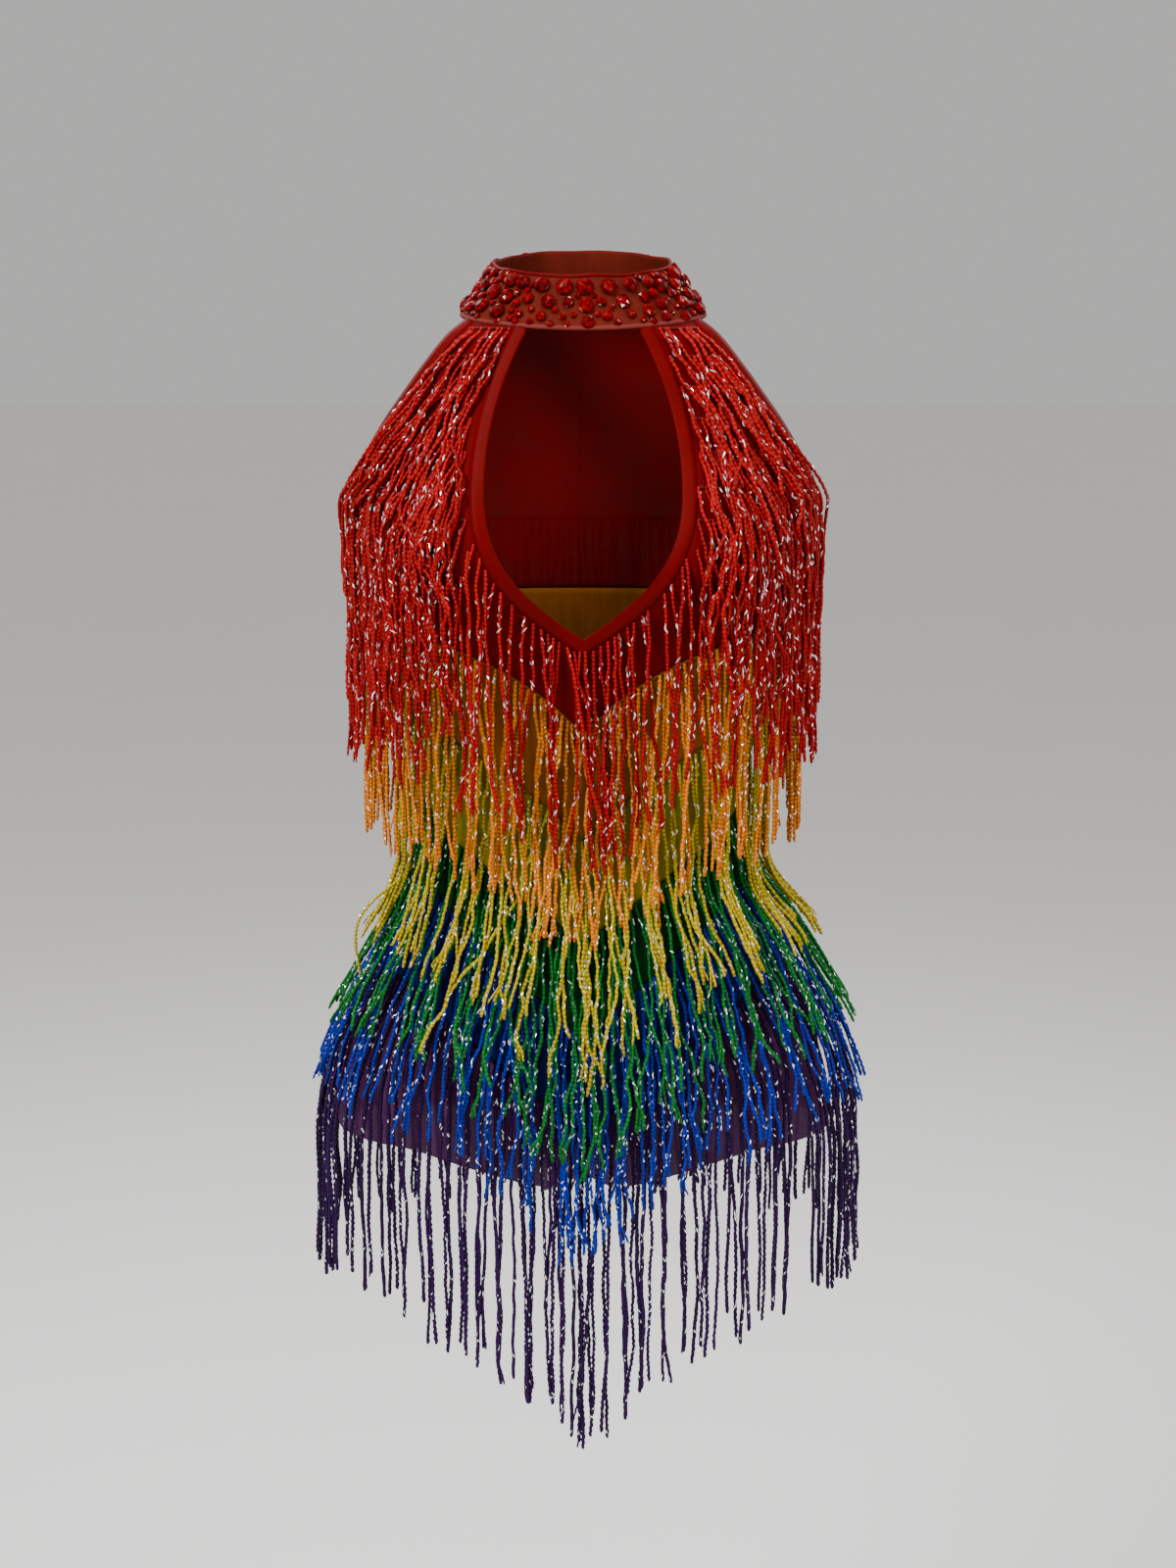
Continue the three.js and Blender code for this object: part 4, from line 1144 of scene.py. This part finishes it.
class Socket:
    """A shader socket with arithmetic that adds Math nodes. Without a link it is a place to start from."""

    def __init__(self, tree, link=None):
        self.tree = tree
        self.link = link

    def node(self, kind, settings=None, inputs=None, output=0):
        """Adds a node: its settings first, then the values or links of its inputs."""
        made = self.tree.nodes.new(kind)
        for key, value in (settings or {}).items():
            setattr(made, key, value)
        for key, value in (inputs or {}).items():
            if isinstance(value, Socket):
                self.tree.links.new(made.inputs[key], value.link)
            else:
                made.inputs[key].default_value = value
        return Socket(self.tree, made.outputs[output])

    def math(self, operation, *values):
        """A Math node on sockets or plain numbers."""
        return self.node("ShaderNodeMath", {"operation": operation}, dict(enumerate(values)))

    def __add__(self, other):
        return self.math("ADD", self, other)

    def __sub__(self, other):
        return self.math("SUBTRACT", self, other)

    def __rsub__(self, other):
        return self.math("SUBTRACT", other, self)

    def __mul__(self, other):
        return self.math("MULTIPLY", self, other)

    __radd__ = __add__
    __rmul__ = __mul__

    def ribs(self, pitch):
        """Ribs along a distance: half the sine of its turns at a pitch, plus a half."""
        return (self * (TURN / pitch)).sine() * 0.5 + 0.5

    def sine(self):
        """The sine of this value."""
        return self.math("SINE", self)

    def between(self, first, second):
        """A colour mixed from first to second by this factor."""
        sockets = {0: self, 6: first, 7: second}
        return self.node("ShaderNodeMix", {"data_type": "RGBA"}, sockets, output=2)

    def component(self, index):
        """One coordinate of this vector."""
        return self.node("ShaderNodeSeparateXYZ", None, {"Vector": self}, output=index)

    def noise(self, scale):
        """Cloudy noise over this vector, so many clouds to a metre."""
        return self.node("ShaderNodeTexNoise", None, {"Vector": self, "Scale": scale, "Detail": 2.0})

    def bump(self, strength, distance):
        """The surface's normal, tilted as if this value were a height."""
        sockets = {"Height": self, "Strength": strength, "Distance": distance}
        return self.node("ShaderNodeBump", None, sockets)

    def attribute(self, name):
        """A value that the piece's mesh carries."""
        return self.node("ShaderNodeAttribute", {"attribute_name": name}, output=2)

    def where(self):
        """The place in Object coordinates."""
        return self.node("ShaderNodeTexCoord", output=3)


def new_material(name, **fixed):
    """A material with fixed values on the shader's sockets. Also gives its tree's start and its shader."""
    material = bpy.data.materials.new(name)
    material.use_nodes = True
    tree = material.node_tree
    shader = next(n for n in tree.nodes if n.type == "BSDF_PRINCIPLED")
    for key, value in fixed.items():
        shader.inputs[key.replace("_", " ")].default_value = value
    return material, Socket(tree), shader


def feed(shader, **sockets):
    """Links what changes over the surface to the shader's sockets."""
    for key, value in sockets.items():
        value.tree.links.new(shader.inputs[key.replace("_", " ")], value.link)


def rgba(colour, gain=1.0):
    """A colour made brighter or darker, at most one, with full alpha."""
    return (*(min(1.0, c * gain) for c in colour), 1)


# Colour of each mesh, and how opaque it is. Then the same for the collar and its hem, and how much further
# apart the threads of these two are.
CLOTHS = {
    "red": ((0.105, 0.0, 0.001), 0.95),
    "orange": ((0.23, 0.068, 0.001), 0.92),
    "yellow": ((0.20, 0.165, 0.001), 0.92),
    "green": ((0.002, 0.028, 0.005), 0.93),
    "blue": ((0.002, 0.008, 0.065), 0.92),
    "purple": ((0.070, 0.018, 0.075), 0.90),
}
COLLAR_NETS = {"collar": ((0.105, 0.010, 0.005), 0.95), "hem": ((0.15, 0.022, 0.020), 0.97)}
COLLAR_THREADS = 1.3
# Colour of each row's cords.
ROPES = {
    "red": (0.27, 0.0, 0.001),
    "orange": (0.54, 0.145, 0.001),
    "yellow": (0.40, 0.295, 0.001),
    "green": (0.003, 0.118, 0.014),
    "blue": (0.001, 0.015, 0.26),
    "purple": (0.016, 0.0, 0.038),
}
# Metres between threads of the net, between ribs of the satin, and in one turn of a cord.
NET_PITCH = 0.0011
SATIN_PITCH = 0.0009
ROPE_PITCH = 0.0027


def net_material(name, colour, opacity, scale=1.0):
    """Fine stretch net: crossed rows of threads in the cloth's own map, thicker and thinner in patches."""
    material, start, shader = new_material(name, Roughness=0.75, Specular_IOR_Level=0.05)
    cloth = start.node("ShaderNodeUVMap", {"uv_map": "map"})
    pitch = TURN / (NET_PITCH * scale)
    rows = (cloth.component(1) * pitch).sine()
    columns = (cloth.component(0) * pitch * 0.8).sine()
    net = rows * columns * 0.5 + 0.5
    patches = cloth.noise(38.0)
    shade = patches * 0.7 + net * 0.3
    base = shade.between(rgba(colour, 0.7), rgba(colour, 1.35))
    alpha = opacity + (net - 0.5) * 0.12 + (patches - 0.5) * 0.08
    feed(shader, Base_Color=base, Alpha=alpha, Normal=net.bump(0.35, 0.0003))
    return material


def satin_material():
    """Satin elastic: fine level ribs and a soft patchiness, which are painted shade on the ribs and painted
    sheen in the patches.
    """
    material, start, shader = new_material("binding_satin", Roughness=0.55, Specular_IOR_Level=0.05)
    where = start.where()
    ribs = where.component(2).ribs(SATIN_PITCH)
    # Painted sheen: soft patches of lighter red. Painted shade: the ribs a little lighter and darker.
    shade = where.noise(60.0) * 0.75 + ribs * 0.25
    base = shade.between(rgba((0.080, 0.0, 0.0)), rgba((0.135, 0.0, 0.001)))
    feed(shader, Base_Color=base, Normal=ribs.bump(0.25, 0.0002))
    return material


def rope_material(name, colour):
    """Twisted rayon cord: lighter and darker turns down the strand, painted light and shade on the twist,
    and each strand a little different in its own tone.
    """
    material, start, shader = new_material(name, Roughness=0.55, Specular_IOR_Level=0.12)
    # Painted light and shade: each turn of the twist lighter, then darker, down the strand.
    turns = start.attribute("run").ribs(ROPE_PITCH)
    fibres = start.where().noise(900.0)
    shade = turns * 0.4 + start.attribute("tint") * 0.35 + fibres * 0.25
    # The dark end holds painted shade and the bright end painted highlight, as well as the cord's colour.
    base = shade.between(rgba(colour, 0.25), rgba(colour, 1.75))
    feed(shader, Base_Color=base, Normal=(turns + fibres).bump(0.6, 0.0005))
    return material


def tinsel_material():
    """Silver tinsel: bright metal foil. The flecks glow too, most of them very little: painted glints."""
    material, start, shader = new_material("silver_tinsel", Metallic=0.85, Emission_Strength=1.0)
    glint = start.attribute("glint")
    patches = start.where().noise(400.0)
    base = patches.between(rgba((0.80, 0.82, 0.88)), rgba((1.0, 1.0, 1.0)))
    # Painted glints: the flecks glow, a few brightly, the rest faintly.
    shine = (glint * glint).between(rgba((0.05, 0.05, 0.06)), rgba((0.95, 0.96, 1.0)))
    feed(shader, Base_Color=base, Roughness=patches * 0.25 + 0.15, Emission_Color=shine)
    return material


def stone_material():
    """Red faceted glass: facets of a deeper or lighter red, which is painted light and shade, and a few
    painted glints that flash white or orange by glowing.
    """
    # The emission strength lights the painted glints.
    fixed = {"Roughness": 0.3, "Specular_IOR_Level": 0.02, "Emission_Strength": 2.2}
    material, start, shader = new_material("red_stones", **fixed)
    tint = start.attribute("tint")
    # Painted light and shade: each facet a deeper or lighter red. The stone's tint is its own tone.
    red = start.attribute("depth") * 0.7 + tint * 0.2 + start.where().noise(260.0) * 0.1
    base = red.between(rgba((0.006, 0.0, 0.0)), rgba((0.27, 0.0, 0.003)))
    # Painted glints: a few facets glow white or orange.
    flash = tint.between(rgba((1.0, 0.85, 0.8)), rgba((1.0, 0.25, 0.05)))
    shine = start.attribute("painted_glint").between(rgba((0.002, 0.0, 0.0)), flash)
    feed(shader, Base_Color=base, Emission_Color=shine)
    return material


def floor_material():
    """A pale matt floor, a little cloudy."""
    material, start, shader = new_material("pale_floor", Roughness=0.8)
    clouds = start.where().noise(3.0)
    feed(shader, Base_Color=clouds.between(rgba((0.96, 0.95, 0.93)), rgba((0.99, 0.98, 0.96))))
    return material


# Half width and height of the floor, the room's colour and strength, and the place that the lamps face.
FLOOR = {"half": 30000.0, "z": -1450.0}
ROOM = {"colour": (1.0, 0.985, 0.97, 1), "strength": 0.52}
LAMPS_FACE = (0, 0, -0.3)
# Area lamps: name, place in metres, size, power.
LAMPS = [
    ("key", (-1.3, -1.7, 1.5), 0.8, 84),
    ("fill", (1.7, -1.5, 0.7), 1.2, 26),
    ("rim_left", (-1.2, 1.6, 1.0), 0.9, 26),
    ("rim_right", (1.4, 1.5, 0.9), 0.9, 26),
    ("top", (0.0, -0.3, 1.9), 0.8, 26),
]


def make_stage():
    """A plain pale floor under the garment, and soft light."""
    corners = np.array([(-1, -1), (1, -1), (1, 1), (-1, 1)]) * FLOOR["half"]
    points = np.column_stack([corners, np.full(4, FLOOR["z"])])
    floor = make_piece("floor", points, [np.array([[0, 1, 2, 3]])])
    floor.data.materials.append(floor_material())
    world = bpy.data.worlds.new("soft_room")
    world.use_nodes = True
    background = world.node_tree.nodes["Background"]
    background.inputs["Color"].default_value = ROOM["colour"]
    background.inputs["Strength"].default_value = ROOM["strength"]
    bpy.context.scene.world = world
    for name, at, size, power in LAMPS:
        lamp = bpy.data.lights.new(name, "AREA")
        lamp.size, lamp.energy = size, power
        holder = bpy.data.objects.new(name, lamp)
        holder.location = at
        aim = np.array(LAMPS_FACE) - np.array(at)
        turn = math.atan2(-aim[0], aim[1])
        pitch = math.atan2(math.hypot(aim[0], aim[1]), -aim[2])
        holder.rotation_euler = (pitch, 0, turn)
        bpy.context.scene.collection.objects.link(holder)


def make_garment():
    """The whole garment: cloth from the collar down, its trims, its stones and its fringe."""
    nets = {c: net_material(f"{c}_net", colour, opacity) for c, (colour, opacity) in CLOTHS.items()}
    ropes = {c: rope_material(f"{c}_rope", colour) for c, colour in ROPES.items()}
    silver = tinsel_material()
    satin = satin_material()
    collar_net, hem_net = (
        net_material(f"{name}_net", *net, COLLAR_THREADS) for name, net in COLLAR_NETS.items()
    )
    colours = list(SEAMS)
    seams = [partial(seam_height, colour) for colour in colours]
    for half in ("front", "back"):
        back = half == "back"
        panels = {"red": red_parts(back)}
        for colour, top, bottom in zip(colours[1:5], seams[1:], seams[2:]):
            panels[colour] = band_parts(top, bottom, back)
        panels["purple"] = band_parts(seams[5], leg_height, back, rows=36, narrowed=closed_in)
        for colour, parts in panels.items():
            make_cloth(f"{half}_{colour}_net", parts, nets[colour], [f"{half}_{colour}"])
    gusset = gusset_parts()
    worn = grid_size(gusset[0][0])
    make_cloth("gusset_net", gusset, nets["purple"], ["gusset"], worn=worn)
    make_bindings(satin)
    make_collar(collar_net)
    make_collar_trims(hem=hem_net, elastic=satin)
    make_stones(stone_material())
    for seed, colour in enumerate(colours, 100):
        make_ring_fringe(colour, ropes[colour], silver, seed)
    make_halter_fringe(ropes["red"], silver)


make_stage()
make_garment()
